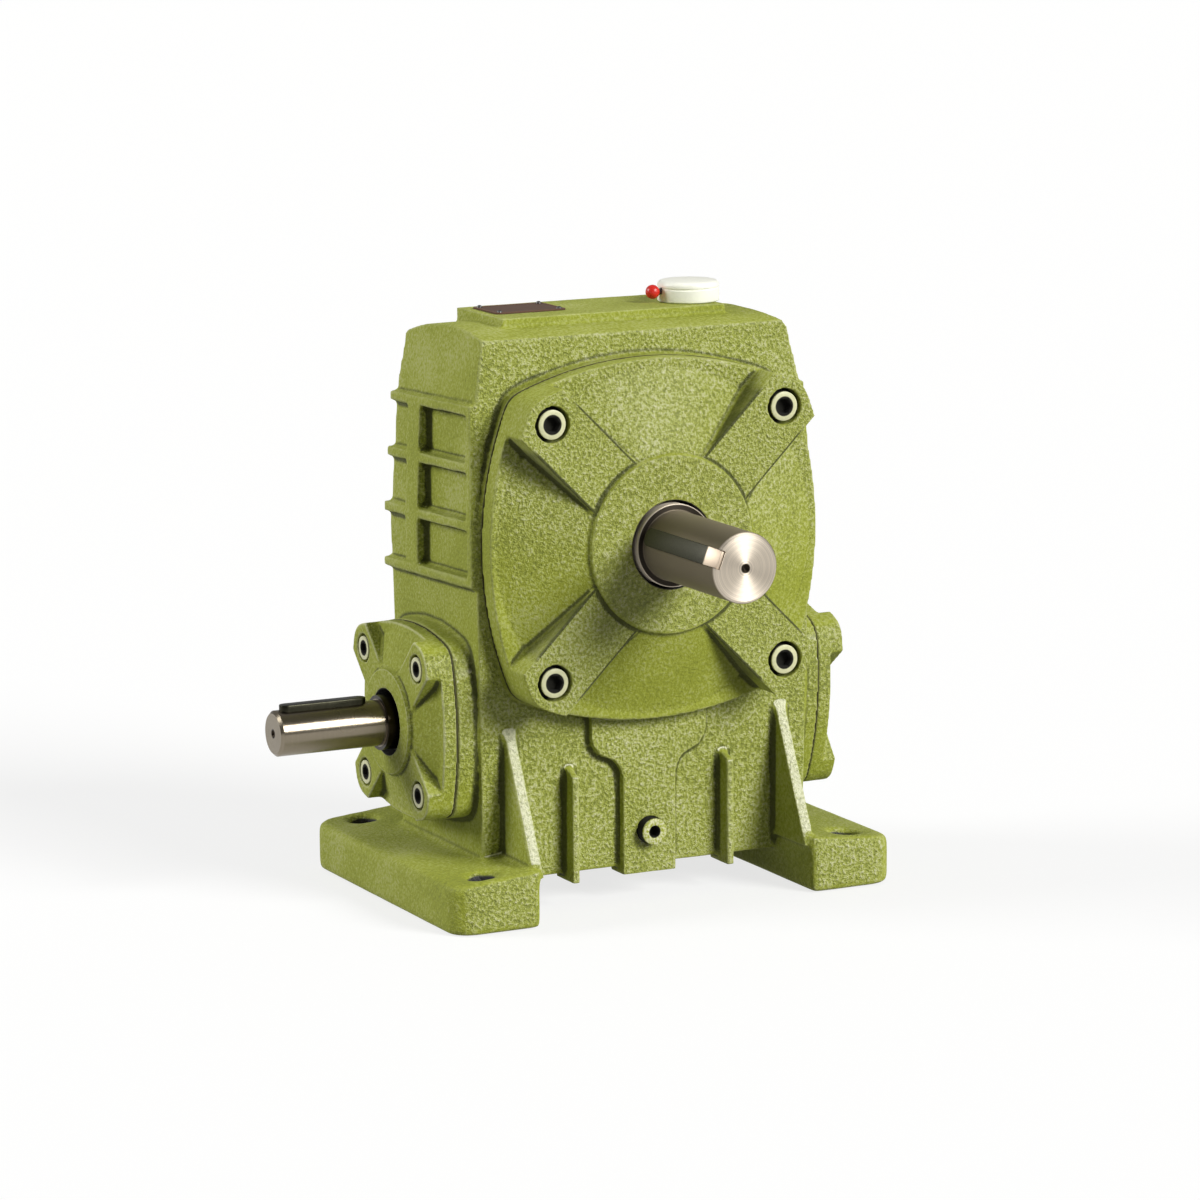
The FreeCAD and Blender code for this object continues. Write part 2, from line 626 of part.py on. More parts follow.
def tooth_space(offset):
    """Section of one tooth space, square to the wheel axis at an offset from its middle plane.

    A section of the worm at that offset moves like a rack as the worm turns, so each flank point of
    the wheel is the rack point whose normal passes through the pitch point, turned back with the wheel.
    """
    lead = s.thread_pitch.value / (2 * math.pi)
    pitch_line = s.worm_pitch_radius.value
    rolling = s.wheel_pitch_radius.value
    centre = s.centre_distance.value
    slope = math.tan(math.radians(s.pressure_angle.value))
    outside = centre - s.rim_outer_radius.value - CUT_MARGIN
    shallow = math.hypot(outside, offset)
    deep = s.worm_tip_radius.value + s.tip_clearance.value

    def rack_point(radius, side):
        across = side * thread_half(radius, s.flank_gap.value) - lead * math.asin(offset / radius)
        return across, math.sqrt(radius * radius - offset * offset)

    def contact_shift(radius, side):
        across, up = rack_point(radius, side)
        run = -side * slope + lead * offset / (radius * up)
        return -across - (up - pitch_line) * (radius / up) / run

    def on_wheel(across, up, shift):
        angle = shift / rolling
        x, z = across + shift, up - centre
        return Vector(x * math.cos(angle) + z * math.sin(angle), offset,
                      z * math.cos(angle) - x * math.sin(angle))

    flanks = []
    for side in (-1, 1):
        points = []
        for step in range(FLANK_POINTS):
            radius = shallow + (deep - shallow) * step / (FLANK_POINTS - 1)
            points.append(on_wheel(*rack_point(radius, side), contact_shift(radius, side)))
        corner = rack_point(deep, side)
        last = contact_shift(deep, side)
        for share in (0.5, 1.0):
            points.append(on_wheel(*corner, last + (-corner[0] - last) * share))
        flanks.append(points)
    left, right = flanks
    edges = []
    for points in (left, right[::-1]):
        curve = Part.BSplineCurve()
        curve.interpolate(points)
        edges.append(curve.toShape())
    root_edge = Part.LineSegment(left[-1], right[-1]).toShape()
    mouth_edge = Part.LineSegment(right[0], left[0]).toShape()
    return Part.Wire([edges[0], root_edge, edges[1], mouth_edge])


def worm_wheel_rim():
    half = s.wheel_face / 2
    height = s.centre_distance - s.rim_outer_radius
    throat = root(s.throat_radius * s.throat_radius - height * height)
    blank = turned("rim_blank", [
        (-half, s.rim_inner_radius), (half, s.rim_inner_radius), (half, s.rim_outer_radius),
        (throat, s.rim_outer_radius, s.throat_radius, -1), (-throat, s.rim_outer_radius),
        (-half, s.rim_outer_radius),
    ], "output")
    doc.recompute()
    reach = half.value + CUT_MARGIN
    offsets = [reach * (2 * step / (TOOTH_SLICES - 1) - 1) for step in range(TOOTH_SLICES)]
    space = Part.makeLoft([tooth_space(offset) for offset in offsets], True)
    axis = Vector(0, 0, s.output_height.value)
    space.translate(axis)
    count = int(s.teeth.value)
    spaces = []
    for tooth in range(count):
        copy = space.copy()
        copy.rotate(axis, Vector(0, 1, 0), 360 * tooth / count)
        spaces.append(copy)
    rim = doc.addObject("Part::Feature", "worm_wheel_rim")
    rim.Shape = blank.Shape.cut(spaces)
    return keep("worm_wheel_rim", rim)


def wheel_key_seat():
    return 0, 0, s.output_height + s.wheel_seat_diameter / 2 - s.wheel_key_height * s.key_depth_share


def wheel_key_blank(name, gap):
    return feather_key(name, s.wheel_key_width + gap * 2, s.wheel_key_height + gap,
                       s.wheel_key_length + gap * 2)


def worm_wheel_hub():
    bore = s.wheel_seat_diameter / 2 + s.press_gap
    boss = s.wheel_seat_diameter / 2 + s.hub_wall
    outside = s.rim_inner_radius - s.press_gap
    shelf = outside - s.hub_ring_wall
    half, web, face = s.wheel_seat_half, s.web_thickness / 2, s.wheel_face / 2
    blank = turned("hub_blank", [
        (-half, bore), (half, bore), (half, boss), (web, boss), (web, shelf), (face, shelf),
        (face, outside), (-face, outside), (-face, shelf), (-web, shelf), (-web, boss), (-half, boss),
    ], "output")
    slot = box("hub_keyway", (-s.wheel_key_width / 2 - s.slide_gap, -half - CUT_MARGIN, s.output_height), (
        s.wheel_key_width / 2 + s.slide_gap, half + CUT_MARGIN,
        wheel_key_seat()[2] + s.wheel_key_height + s.slide_gap))
    hole = cylinder("web_hole", s.web_hole_diameter / 2, s.web_thickness + CUT_MARGIN * 2,
                    (0, -web - CUT_MARGIN, (boss + shelf) / 2), ALONG_Y)
    count = int(whole(s.web_hole_count).value)
    axis = Placement(Vector(0, 0, s.output_height.value), UPRIGHT)
    holes = group("web_holes", hole, [
        axis.multiply(Placement(Vector(), Rotation(Vector(0, 1, 0), 360 * (turn + 0.5) / count)))
        for turn in range(count)
    ])
    return keep("worm_wheel_hub", cut("worm_wheel_hub", blank, slot, holes))


def wheel_key():
    key = place(wheel_key_blank("wheel_key", 0), wheel_key_seat(), Rotation(Vector(0, 0, 1), 90))
    return keep("wheel_key", key)


def output_key_placement():
    """Key frame on the output shaft: local X along the shaft, local Z outwards."""
    angle = math.radians(s.output_key_angle.value)
    outward = Vector(math.cos(angle), 0, math.sin(angle))
    along = Vector(0, 1, 0)
    rotation = Rotation(along, outward.cross(along), outward, "ZXY")
    depth = s.output_diameter.value / 2 - s.output_key_height.value * s.key_depth_share.value
    middle = s.output_key_inset.value + s.output_key_length.value / 2 - s.output_tip.value
    return Placement(Vector(0, middle, s.output_height.value) + outward * depth, rotation)


def output_key():
    """Key with a square front end that slopes down into its slot."""
    half, side, top = s.output_key_length / 2, s.output_key_width / 2, s.output_key_height
    rounded = feather_key("output_key_bar", s.output_key_width, top, s.output_key_length)
    square = box("output_key_front", (-half, -side, 0), (0, side, top))
    steepness = s.output_key_drop / s.output_key_ramp
    ramp = prism("output_key_slope", [
        (s.output_key_ramp - half, top), (-half - CUT_MARGIN, top + CUT_MARGIN),
        (-half - CUT_MARGIN, top - s.output_key_drop - steepness * CUT_MARGIN),
    ], "front", side + CUT_MARGIN, s.output_key_width + CUT_MARGIN * 2)
    key = cut("output_key", fuse("output_key_blank", rounded, square), ramp)
    key.Placement = output_key_placement()
    return keep("output_key", key)


def output_shaft():
    tip, seat = s.output_diameter / 2, s.output_bearing_bore / 2
    wheel, collar = s.wheel_seat_diameter / 2, s.collar_diameter / 2
    hole, chamfer = s.centre_hole / 2, s.shaft_chamfer
    rear = s.output_bearing_outer - s.cone_setback
    core = turned("output_core", [
        (hole - s.output_tip, 0), (rear, 0), (rear, seat - chamfer), (rear - chamfer, seat),
        (s.wheel_seat_half, seat), (s.wheel_seat_half, wheel), (-s.wheel_seat_half, wheel),
        (-s.wheel_seat_half, collar), (-s.output_bearing_inner, collar), (-s.output_bearing_inner, seat),
        (-s.output_shoulder_at, seat), (-s.output_shoulder_at, tip),
        (chamfer - s.output_tip, tip), (-s.output_tip, tip - chamfer), (-s.output_tip, hole),
    ], "output")
    gap = s.slide_gap * 2
    open_slot = feather_key("output_slot", s.output_key_width + gap, s.output_key_height,
                            s.output_key_length + gap)
    open_slot.Placement = output_key_placement()
    run_out = box("output_slot_mouth", (-s.output_key_length / 2 - s.output_key_inset - CUT_MARGIN,
                                        -s.output_key_width / 2 - s.slide_gap, 0),
                  (0, s.output_key_width / 2 + s.slide_gap, s.output_key_height))
    run_out.setExpression("Placement.Base.x", None)
    run_out.setExpression("Placement.Base.y", None)
    doc.recompute()
    run_out.Placement = output_key_placement().multiply(run_out.Placement)
    wheel_slot = wheel_key_blank("wheel_slot", s.slide_gap)
    place(wheel_slot, wheel_key_seat(), Rotation(Vector(0, 0, 1), 90))
    return keep("output_shaft", cut("output_shaft", core, open_slot, run_out, wheel_slot))


def spacer_sleeve():
    inner = s.output_bearing_bore / 2 + s.press_gap
    sleeve = ring("spacer_sleeve", s.wheel_seat_half, s.output_bearing_inner, inner,
                  s.collar_diameter / 2, "output")
    return keep("spacer_sleeve", sleeve)


# Tapered roller bearings

def tapered_bearing(prefix, axis, side, inner_end, bore, outside, width, race_wall):
    """Cup, cone, cage and rollers. The rollers lean so that their small ends face out of the housing."""
    tilt = math.radians(s.roller_tilt.value)
    seat, rim = bore / 2 + s.press_gap, outside / 2 - s.press_gap
    middle_radius = ((bore + outside) / 4).value
    roller_radius = ((outside - bore) / 4 - race_wall).value
    apex = width.value / 2 + middle_radius / math.tan(tilt)
    flare = math.atan(roller_radius * math.sin(tilt) / middle_radius)
    gap = s.roller_gap.value / math.cos(tilt)
    cup_end, cone_end = s.cup_setback, width - s.cone_setback
    rib = s.bearing_rib

    def along(distance):
        return (inner_end + distance) * side

    def race(distance, angle):
        return (apex - number(distance)) * math.tan(angle)

    cup = turned(prefix + "_cup", [
        (along(cup_end), rim), (along(width), rim),
        (along(width), race(width, tilt + flare) + gap), (along(cup_end), race(cup_end, tilt + flare) + gap),
    ], axis)
    low, high = rib, cone_end - rib
    bed_low, bed_high = race(low, tilt - flare) - gap, race(high, tilt - flare) - gap
    big_rib, small_rib = bed_low + roller_radius * 0.7, bed_high + roller_radius * 0.3
    cone_ring = turned(prefix + "_cone", [
        (along(0), seat), (along(cone_end), seat), (along(cone_end), small_rib), (along(high), small_rib),
        (along(high), bed_high), (along(low), bed_low), (along(low), big_rib), (along(0), big_rib),
    ], axis)

    room = (high - low).value - 2 * roller_radius * math.sin(tilt) - 4 * s.roller_gap.value
    length = room / math.cos(tilt)
    centre = (low + high).value / 2
    centre_radius = (apex - centre) * math.tan(tilt)
    middle_size = centre_radius / math.sin(tilt) * math.tan(flare)
    spread = length / 2 * math.tan(flare)
    count = int(2 * math.pi * middle_radius / (2 * roller_radius + s.roller_bar.value))
    shaft_axis = Vector(1, 0, 0) if axis == "worm" else Vector(0, 1, 0)
    height = s.worm_height.value if axis == "worm" else s.output_height.value
    places = []
    for index in range(count):
        around = Rotation(shaft_axis, 360 * index / count)
        outward = around.multVec(Vector(0, 0, 1))
        lean = shaft_axis * (side * math.cos(tilt)) - outward * math.sin(tilt)
        hub = shaft_axis * (side * (inner_end.value + centre)) + Vector(0, 0, height)
        places.append(Placement(hub + outward * centre_radius, Rotation(Vector(0, 0, 1), lean)))
    roller = cone(prefix + "_roller", middle_size + spread, middle_size - spread, length,
                  (0, 0, -length / 2))
    rollers = group(prefix + "_rollers", roller, places)
    play = 2 * s.roller_gap.value
    pocket = cone(prefix + "_pocket", middle_size + spread + play, middle_size - spread + play,
                  length + 2 * play, (0, 0, -length / 2 - play))
    pockets = group(prefix + "_pockets", pocket, places)
    wall = s.cage_wall.value / 2 / math.cos(tilt)
    edge = s.cage_wall.value
    first = centre - length / 2 * math.cos(tilt) - edge
    last = centre + length / 2 * math.cos(tilt) + edge
    blank = turned(prefix + "_cage_blank", [
        (along(first), race(first, tilt) - wall), (along(last), race(last, tilt) - wall),
        (along(last), race(last, tilt) + wall), (along(first), race(first, tilt) + wall),
    ], axis)
    cage = cut(prefix + "_cage", blank, pockets)
    for node, item in (("cup", cup), ("cone", cone_ring), ("rollers", rollers), ("cage", cage)):
        keep(f"{prefix}_{node}", item)


def bearings():
    for prefix, side in (("worm_input_bearing", -1), ("worm_far_bearing", 1)):
        tapered_bearing(prefix, "worm", side, s.worm_bearing_inner, s.worm_bearing_bore,
                        s.worm_bearing_outside, s.worm_bearing_width, s.worm_race_wall)
    for prefix, side in (("output_front_bearing", -1), ("output_rear_bearing", 1)):
        tapered_bearing(prefix, "output", side, s.output_bearing_inner, s.output_bearing_bore,
                        s.output_bearing_outside, s.output_bearing_width, s.output_race_wall)


# Seals and covers

def shaft_seal(node, axis, face, bore, outside):
    """Lip seal with a U section, open towards the inside of the housing."""
    inner, outer = bore / 2 + s.lip_gap, outside / 2 - s.press_gap
    wall = s.seal_width / 4
    back = face - s.seal_width
    lip = back + wall
    seal = turned(node, [
        (-face, inner + wall), (-face, outer), (-back, outer), (-back, outer - wall),
        (wall - face, outer - wall), (wall - face, inner + wall * 2), (-lip, inner + wall), (-lip, inner),
    ], axis)
    return keep(node, seal)


def output_cover():
    up = s.output_height
    bowed = bowed_square(up, s.cover_screw_offset, s.cover_corner, s.cover_bulge)
    flange = prism("cover_flange_plate", bowed, "front", -s.cover_seat, s.cover_flange)
    tall = prism("cover_lug_blank", bowed, "front", -s.cover_seat, s.cover_flange + s.cover_lug_rise)
    half = s.cover_screw_offset + s.cover_corner + s.cover_bulge
    arms = []
    for mark, turn in (("a", 45), ("b", -45)):
        arm = box("cover_arm_" + mark, (-half * 2, -s.cover_arm_width / 2, 0),
                  (half * 2, s.cover_arm_width / 2, s.cover_flange + s.cover_lug_rise))
        doc.recompute()
        start = Placement(Vector(0, -s.cover_seat.value, up.value), FACING["front"])
        lean = Placement(Vector(), Rotation(Vector(0, 0, 1), turn))
        corner = arm.Placement
        arm.setExpression("Placement.Base.x", None)
        arm.setExpression("Placement.Base.y", None)
        arm.Placement = start.multiply(lean).multiply(corner)
        arms.append(arm)
    lugs = common("cover_lugs", fuse("cover_arms", *arms), tall)
    flange_face = s.cover_seat + s.cover_flange
    dome = cone("cover_dome", half - s.cover_dome_margin, s.cover_hub_radius, s.cover_lug_rise,
                (0, -flange_face, up), FACING["front"])
    hub = cylinder("cover_hub", s.cover_hub_radius, s.cover_hub_face - s.cover_seat,
                   (0, -s.cover_seat, up), FACING["front"])
    spigot_radius = s.opening_radius - s.slide_gap
    spigot = ring("cover_spigot_ring", s.cover_spigot - s.cover_seat, -s.cover_seat - CUT_MARGIN,
                  spigot_radius - s.cover_spigot_wall, spigot_radius, "output")
    blank = fuse("cover_blank", flange, lugs, dome, hub, spigot)

    bearing, seal = s.output_bearing_outside / 2, s.output_seal_outside / 2
    seal_face = s.output_bearing_outer + SEAL_STANDOFF + s.seal_width
    inside = CUT_MARGIN - s.cover_seat
    bore = turned("cover_bore", [
        (inside, 0), (inside, bearing), (-s.output_bearing_outer, bearing), (-s.output_bearing_outer, seal),
        (-seal_face, seal), (-seal_face, s.output_opening / 2),
        (-s.cover_hub_face - CUT_MARGIN, s.output_opening / 2), (-s.cover_hub_face - CUT_MARGIN, 0),
    ], "output")
    pocket_inner = s.cover_hub_radius
    pocket_outer = spigot_radius - s.cover_spigot_wall
    pocket = turned("cover_pocket", [
        (inside, pocket_inner), (inside, pocket_outer),
        (s.cover_recess_wall - flange_face - CUT_MARGIN, pocket_outer),
        (s.cover_recess_wall - s.cover_lug_face, pocket_inner),
    ], "output")
    holes = screw_holes("cover", s.cover_screw, s.cover_counterbore, s.cover_flange + s.cover_lug_rise)
    drilled = group("cover_screw_holes", holes,
                    diagonal_places(s.cover_screw_offset, s.cover_lug_face, "output"))
    return keep("output_cover", cut("output_cover", blank, bore, pocket, drilled))


def screw_holes(name, screw, counterbore, depth):
    """One counterbored hole, cut down from the lug face at the origin."""
    through = cylinder(name + "_through", screw / 2 + s.slide_gap, depth + CUT_MARGIN * 2,
                       (0, 0, -depth - CUT_MARGIN))
    sunk = cylinder(name + "_sunk", counterbore / 2, screw + s.slide_gap * 5 + CUT_MARGIN,
                    (0, 0, -screw - s.slide_gap * 5))
    return fuse(name + "_hole", through, sunk)


def screws(node, axis, screw, head, socket, bite, offset, lug_face, joint_face):
    seat = lug_face - screw - s.slide_gap * 5
    side = 1 if lug_face.value > 0 else -1
    master = cap_screw(node + "_master", screw, head, seat - joint_face + bite, socket)
    return keep(node, group(node, master, diagonal_places(offset, seat * side, axis)))


def output_cover_gasket():
    bowed = bowed_square(s.output_height, s.cover_screw_offset, s.cover_corner, s.cover_bulge)
    sheet_blank = prism("gasket_sheet", bowed, "front", -s.front_depth, s.cover_gasket)
    hole = cylinder("gasket_hole", s.opening_radius, s.cover_gasket + CUT_MARGIN * 2,
                    (0, CUT_MARGIN - s.front_depth, s.output_height), FACING["front"])
    screw_hole = cylinder("gasket_screw_hole", s.cover_screw / 2 + s.slide_gap,
                          s.cover_gasket + CUT_MARGIN * 2, (0, 0, -CUT_MARGIN))
    drilled = group("gasket_screw_holes", screw_hole,
                    diagonal_places(s.cover_screw_offset, s.front_depth, "output"))
    return keep("output_cover_gasket", cut("output_cover_gasket", sheet_blank, hole, drilled))


def end_levels(side):
    """Boss face, cover seat, lug face and hub face at one end of the worm."""
    back = s.far_setback if side > 0 else 0
    return [level - back for level in (s.boss_face, s.end_seat, s.end_lug_face, s.end_hub_face)]


def end_turn(side):
    """Turn of the cover about the worm, which only the end away from the input has."""
    axis = Vector(0, 0, s.worm_height.value)
    rotation = Rotation(Vector(1, 0, 0), s.far_turn.value if side > 0 else 0)
    return Placement(axis - rotation.multVec(axis), rotation)


def end_screw_places(level, side):
    turn = end_turn(side)
    return [turn.multiply(spot) for spot in diagonal_places(s.end_screw_offset, level * side, "worm")]


def end_cover(node, side):
    """Cover over one end of the worm. The input end lets the shaft out through its seal."""
    up = s.worm_height
    _, seat, lug_face, hub_face = end_levels(side)
    bowed = bowed_square(up, s.end_screw_offset, s.end_corner, s.end_bulge)
    depth = s.end_flange + s.end_lug_rise
    start = seat if side > 0 else -seat - s.end_flange
    tall_start = seat if side > 0 else -seat - depth
    flange = prism(node + "_flange", bowed, "side", start, s.end_flange)
    tall = prism(node + "_lug_blank", bowed, "side", tall_start, depth)
    half = s.end_screw_offset + s.end_corner + s.end_bulge
    arms = []
    for mark, turn in (("a", 45), ("b", -45)):
        arm = box(f"{node}_arm_{mark}", (-half * 2, -s.end_arm_width / 2, 0),
                  (half * 2, s.end_arm_width / 2, depth))
        doc.recompute()
        stand = Placement(Vector(side * seat.value, 0, up.value), Rotation(Vector(0, 1, 0), 90 * side))
        lean = Placement(Vector(), Rotation(Vector(0, 0, 1), turn))
        corner = arm.Placement
        arm.setExpression("Placement.Base.x", None)
        arm.setExpression("Placement.Base.y", None)
        arm.Placement = stand.multiply(lean).multiply(corner)
        arms.append(arm)
    lugs = common(node + "_lugs", fuse(node + "_arms", *arms), tall)
    outward = Rotation(Vector(0, 1, 0), 90 * side)
    dome = cone(node + "_dome", half - s.end_dome_margin, s.end_hub_radius, s.end_lug_rise,
                ((seat + s.end_flange) * side, 0, up), outward)
    hub = cylinder(node + "_hub", s.end_hub_radius, hub_face - seat, (seat * side, 0, up), outward)
    outer = s.worm_bearing_outside / 2 - s.press_gap
    spigot = ring(node + "_spigot", s.worm_bearing_outer * side, (seat + CUT_MARGIN) * side,
                  outer - s.end_spigot_wall, outer, "worm")
    blank = fuse(node + "_blank", flange, lugs, dome, hub, spigot)
    cavity = outer - s.end_spigot_wall
    bottom = seat + s.end_flange / 4
    inside = seat - CUT_MARGIN
    if side < 0:
        pocket, opening = s.input_seal_outside / 2, s.input_opening / 2
        seal_face = bottom + s.seal_width
        profile = [
            (-inside, 0), (-inside, cavity), (-bottom, cavity), (-bottom, pocket), (-seal_face, pocket),
            (-seal_face, opening), (-hub_face - CUT_MARGIN, opening), (-hub_face - CUT_MARGIN, 0),
        ]
    else:
        profile = [(inside, 0), (bottom, 0), (bottom, cavity), (inside, cavity)]
    bore = turned(node + "_bore", profile, "worm")
    hole = screw_holes(node, s.end_screw, s.end_counterbore, depth)
    drilled = group(node + "_screw_holes", hole,
                    diagonal_places(s.end_screw_offset, lug_face * side, "worm"))
    cover = cut(node, blank, bore, drilled)
    cover.Placement = end_turn(side)
    return keep(node, cover)


def end_cover_shim(node, side):
    up = s.worm_height
    bowed = bowed_square(up, s.end_screw_offset, s.end_corner, s.end_bulge)
    boss, seat, _, _ = end_levels(side)
    start = boss if side > 0 else -seat
    plate = prism(node + "_sheet", bowed, "side", start, s.end_shim)
    hole = cylinder(node + "_hole", s.worm_bearing_outside / 2, s.end_shim + CUT_MARGIN * 2,
                    (start - CUT_MARGIN, 0, up), ALONG_X)
    screw_hole = cylinder(node + "_screw_hole", s.end_screw / 2 + s.slide_gap,
                          s.end_shim + CUT_MARGIN * 2, (0, 0, -CUT_MARGIN - s.end_shim))
    drilled = group(node + "_screw_holes", screw_hole,
                    diagonal_places(s.end_screw_offset, seat * side, "worm"))
    shim = cut(node, plate, hole, drilled)
    shim.Placement = end_turn(side)
    return keep(node, shim)


def rear_closing_cap():
    """Pressed steel cap behind the rear bearing, dished outwards."""
    first = s.output_bearing_outer
    last = first + s.closing_cap_thickness
    edge = s.output_bearing_outside / 2 - s.press_gap
    sheet_wall = s.closing_cap_thickness / 4
    cap = turned("rear_closing_cap", [
        (last - sheet_wall * 2, 0), (last - sheet_wall * 2, edge - sheet_wall * 3),
        (first, edge - sheet_wall), (first, edge), (last, edge), (last, edge - sheet_wall),
        (last - sheet_wall, edge - sheet_wall * 3), (last - sheet_wall, 0),
    ], "output")
    return keep("rear_closing_cap", cap)


# Housing

def housing_shell():
    """Outer casting: the meeting of a front outline and a side outline, both with draft."""
    belly, waist, roof = s.belly_height, s.output_height, s.roof_height
    corner, edge, half = s.roof_corner, s.roof_edge, s.roof_half_width
    shoulder = waist + s.shoulder_above
    front = prism("housing_front_view", [
        (-s.belly_half_width, belly), (s.belly_half_width, belly), (s.waist_half_width, waist),
        (s.shoulder_half_width, shoulder), (half, roof - corner, corner, 1), (half - corner, roof),
        (edge - half, roof, edge, 1), (-half, roof - edge), (-s.shoulder_half_width, shoulder),
        (-s.waist_half_width, waist),
    ], "front", s.rear_depth + CUT_MARGIN, s.front_depth + s.rear_depth + CUT_MARGIN * 2)
    roof_rear = s.rear_depth - s.wall_lean * s.roof_rear_edge
    side = prism("housing_side_view", [
        (-s.belly_front, belly), (s.rear_depth - s.belly_lean, belly), (s.rear_depth, waist),
        (roof_rear, waist + s.roof_rear_edge, s.roof_arch, 1), (-s.roof_front, waist + s.roof_front_edge),
        (-s.front_depth, waist),
    ], "side", -s.waist_half_width - CUT_MARGIN, s.waist_half_width * 2 + CUT_MARGIN * 2)
    return common("housing_shell", front, side)


def foot(name, side):
    """Foot with rounded outer corners and a top that rises towards the housing."""
    half, corner = s.foot_length / 2, s.foot_corner
    inner, outer = s.foot_inner * side, s.foot_outer * side
    bend = s.foot_outer - corner
    points = [
        (inner, -half), (bend * side, -half, corner, side), (outer, corner - half),
        (outer, half - corner, corner, side), (bend * side, half), (inner, half),
    ]
    plan = prism(name + "_plan", points, "top", 0, s.foot_height + s.foot_rise)
    slope = prism(name + "_slope", [
        (inner, 0), (outer, 0), (outer, s.foot_height), (inner, s.foot_height + s.foot_rise),
    ], "front", half + CUT_MARGIN, s.foot_length + CUT_MARGIN * 2)
    return common(name, plan, slope)


def gussets_and_ribs():
    """Triangular gussets over the feet and upright ribs on the lower wall, alike front and rear."""
    items = []
    root_depth = s.cavity_front
    for face, face_sign in (("front", -1), ("rear", 1)):
        wall = s.belly_front if face == "front" else s.rear_depth - s.belly_lean
        root_at = root_depth if face == "front" else s.cavity_rear
        for mark, side in (("left", -1), ("right", 1)):
            gusset = [
                (root_at * face_sign, s.foot_height - CUT_MARGIN),
                (s.gusset_reach * face_sign, s.foot_height - CUT_MARGIN),
                (wall * face_sign, s.gusset_top), (root_at * face_sign, s.gusset_top),
            ]
            start = s.gusset_offset * side - s.gusset_thickness / 2
            items.append(prism(f"{face}_{mark}_gusset", gusset, "side", start, s.gusset_thickness))
            tip = (wall + s.rib_reach) * face_sign
            rib = [
                (root_at * face_sign, s.skirt_height), (tip, s.skirt_height), (tip, s.rib_top - s.rib_slope),
                (wall * face_sign, s.rib_top), (root_at * face_sign, s.rib_top),
            ]
            start = s.rib_offset * side - s.rib_thickness / 2
            items.append(prism(f"{face}_{mark}_rib", rib, "side", start, s.rib_thickness))
    return items


def drain_panel():
    """Raised panel on the front wall, wide under the cover and narrow round the drain."""
    drop = s.panel_shoulder_top - s.panel_shoulder_low
    step = s.panel_neck - s.panel_stem
    bend = (drop * drop + step * step) / (step * 4)
    middle = (s.panel_neck + s.panel_stem) / 2
    knee = (s.panel_shoulder_top + s.panel_shoulder_low) / 2
    top = s.output_height - s.opening_radius
    points = [
        (-s.panel_stem, s.skirt_height), (s.panel_stem, s.skirt_height),
        (s.panel_stem, s.panel_shoulder_low, bend, -1), (middle, knee, bend, 1),
        (s.panel_neck, s.panel_shoulder_top), (s.panel_neck, top), (-s.panel_neck, top),
        (-s.panel_neck, s.panel_shoulder_top, bend, 1), (-middle, knee, bend, -1),
        (-s.panel_stem, s.panel_shoulder_low),
    ]
    blank = prism("drain_panel_blank", points, "front", -s.cavity_front, s.panel_front - s.cavity_front)
    room_corner = s.cover_corner + s.slide_gap * 3
    bowed = bowed_square(s.output_height, s.cover_screw_offset, room_corner, s.cover_bulge)
    cover_room = prism("cover_room", bowed, "front", -s.front_depth, s.panel_rise)
    return cut("drain_panel", blank, cover_room)


def side_half_width(height):
    """Half width of the drafted housing at a height above the output axis, up to its shoulder."""
    draft = s.waist_half_width - s.shoulder_half_width
    return s.waist_half_width - draft * height / s.shoulder_above


def side_ribs_and_windows():
    """Ribs round the ends of the housing, with a frame that leaves sunk windows between them."""
    axis, half, rise = s.output_height, s.side_rib_thickness / 2, s.side_rib_rise
    count = int(whole(s.side_rib_count).value)
    heights = [s.side_rib_low + s.side_rib_pitch * index for index in range(count)]
    low, high = heights[0] - half, heights[-1] + half
    lean = s.wall_lean
    slope = s.side_rib_fall / (s.front_depth + s.rear_depth)
    front = CUT_MARGIN - s.front_depth
    reach = s.waist_half_width + rise

    def up(height, along):
        return axis + height - slope * (along + s.front_depth)

    bottom, top = axis + low - s.side_rib_fall, axis + high
    top_half = side_half_width(high) + rise
    blank = prism("side_rib_room", [
        (-reach, bottom), (reach, bottom), (reach, axis), (top_half, top), (-top_half, top), (-reach, axis),
    ], "front", s.rear_depth + rise, s.rear_depth + rise + s.front_depth)
    band = s.band_rear
    bars = [prism("side_frame", [
        (front, up(low, front)), (band, up(low, band)), (band, up(high, band)),
        (front + lean * high, up(high, front)), (front, axis),
    ], "side", -reach, reach * 2)]
    windows = []
    for index, height in enumerate(heights):
        rear = s.rear_depth + rise
        if height.value > 0:
            rear = rear - lean * height
        bars.append(prism(f"side_rib_{index}", [
            (0, up(height - half, Size(0, "0"))), (rear, up(height - half, rear)),
            (rear, up(height + half, rear)), (0, up(height + half, Size(0, "0"))),
        ], "side", -reach, reach * 2))
        if index == count - 1:
            continue
        sill, head = height + half, heights[index + 1] - half
        floor = side_half_width((sill + head) / 2) + rise - s.window_depth
        near, far = front + s.window_lip + lean * head, s.window_rear
        opening = [(near, up(sill, near)), (far, up(sill, far)), (far, up(head, far)), (near, up(head, near))]
        width = reach + CUT_MARGIN - floor
        windows.append(prism(f"left_window_{index}", opening, "side", -reach - CUT_MARGIN, width))
        windows.append(prism(f"right_window_{index}", opening, "side", floor, width))
    return common("side_frames", blank, fuse("side_bars", *bars)), windows


def end_bosses():
    bowed = bowed_square(s.worm_height, s.end_screw_offset, s.end_corner + s.boss_margin, s.end_bulge)
    near, far = end_levels(-1)[0], end_levels(1)[0]
    left = prism("input_end_boss", bowed, "side", -near, near - s.cavity_half_width)
    right = prism("far_end_boss", bowed, "side", s.cavity_half_width, far - s.cavity_half_width)
    right.Placement = end_turn(1)
    return [left, right]


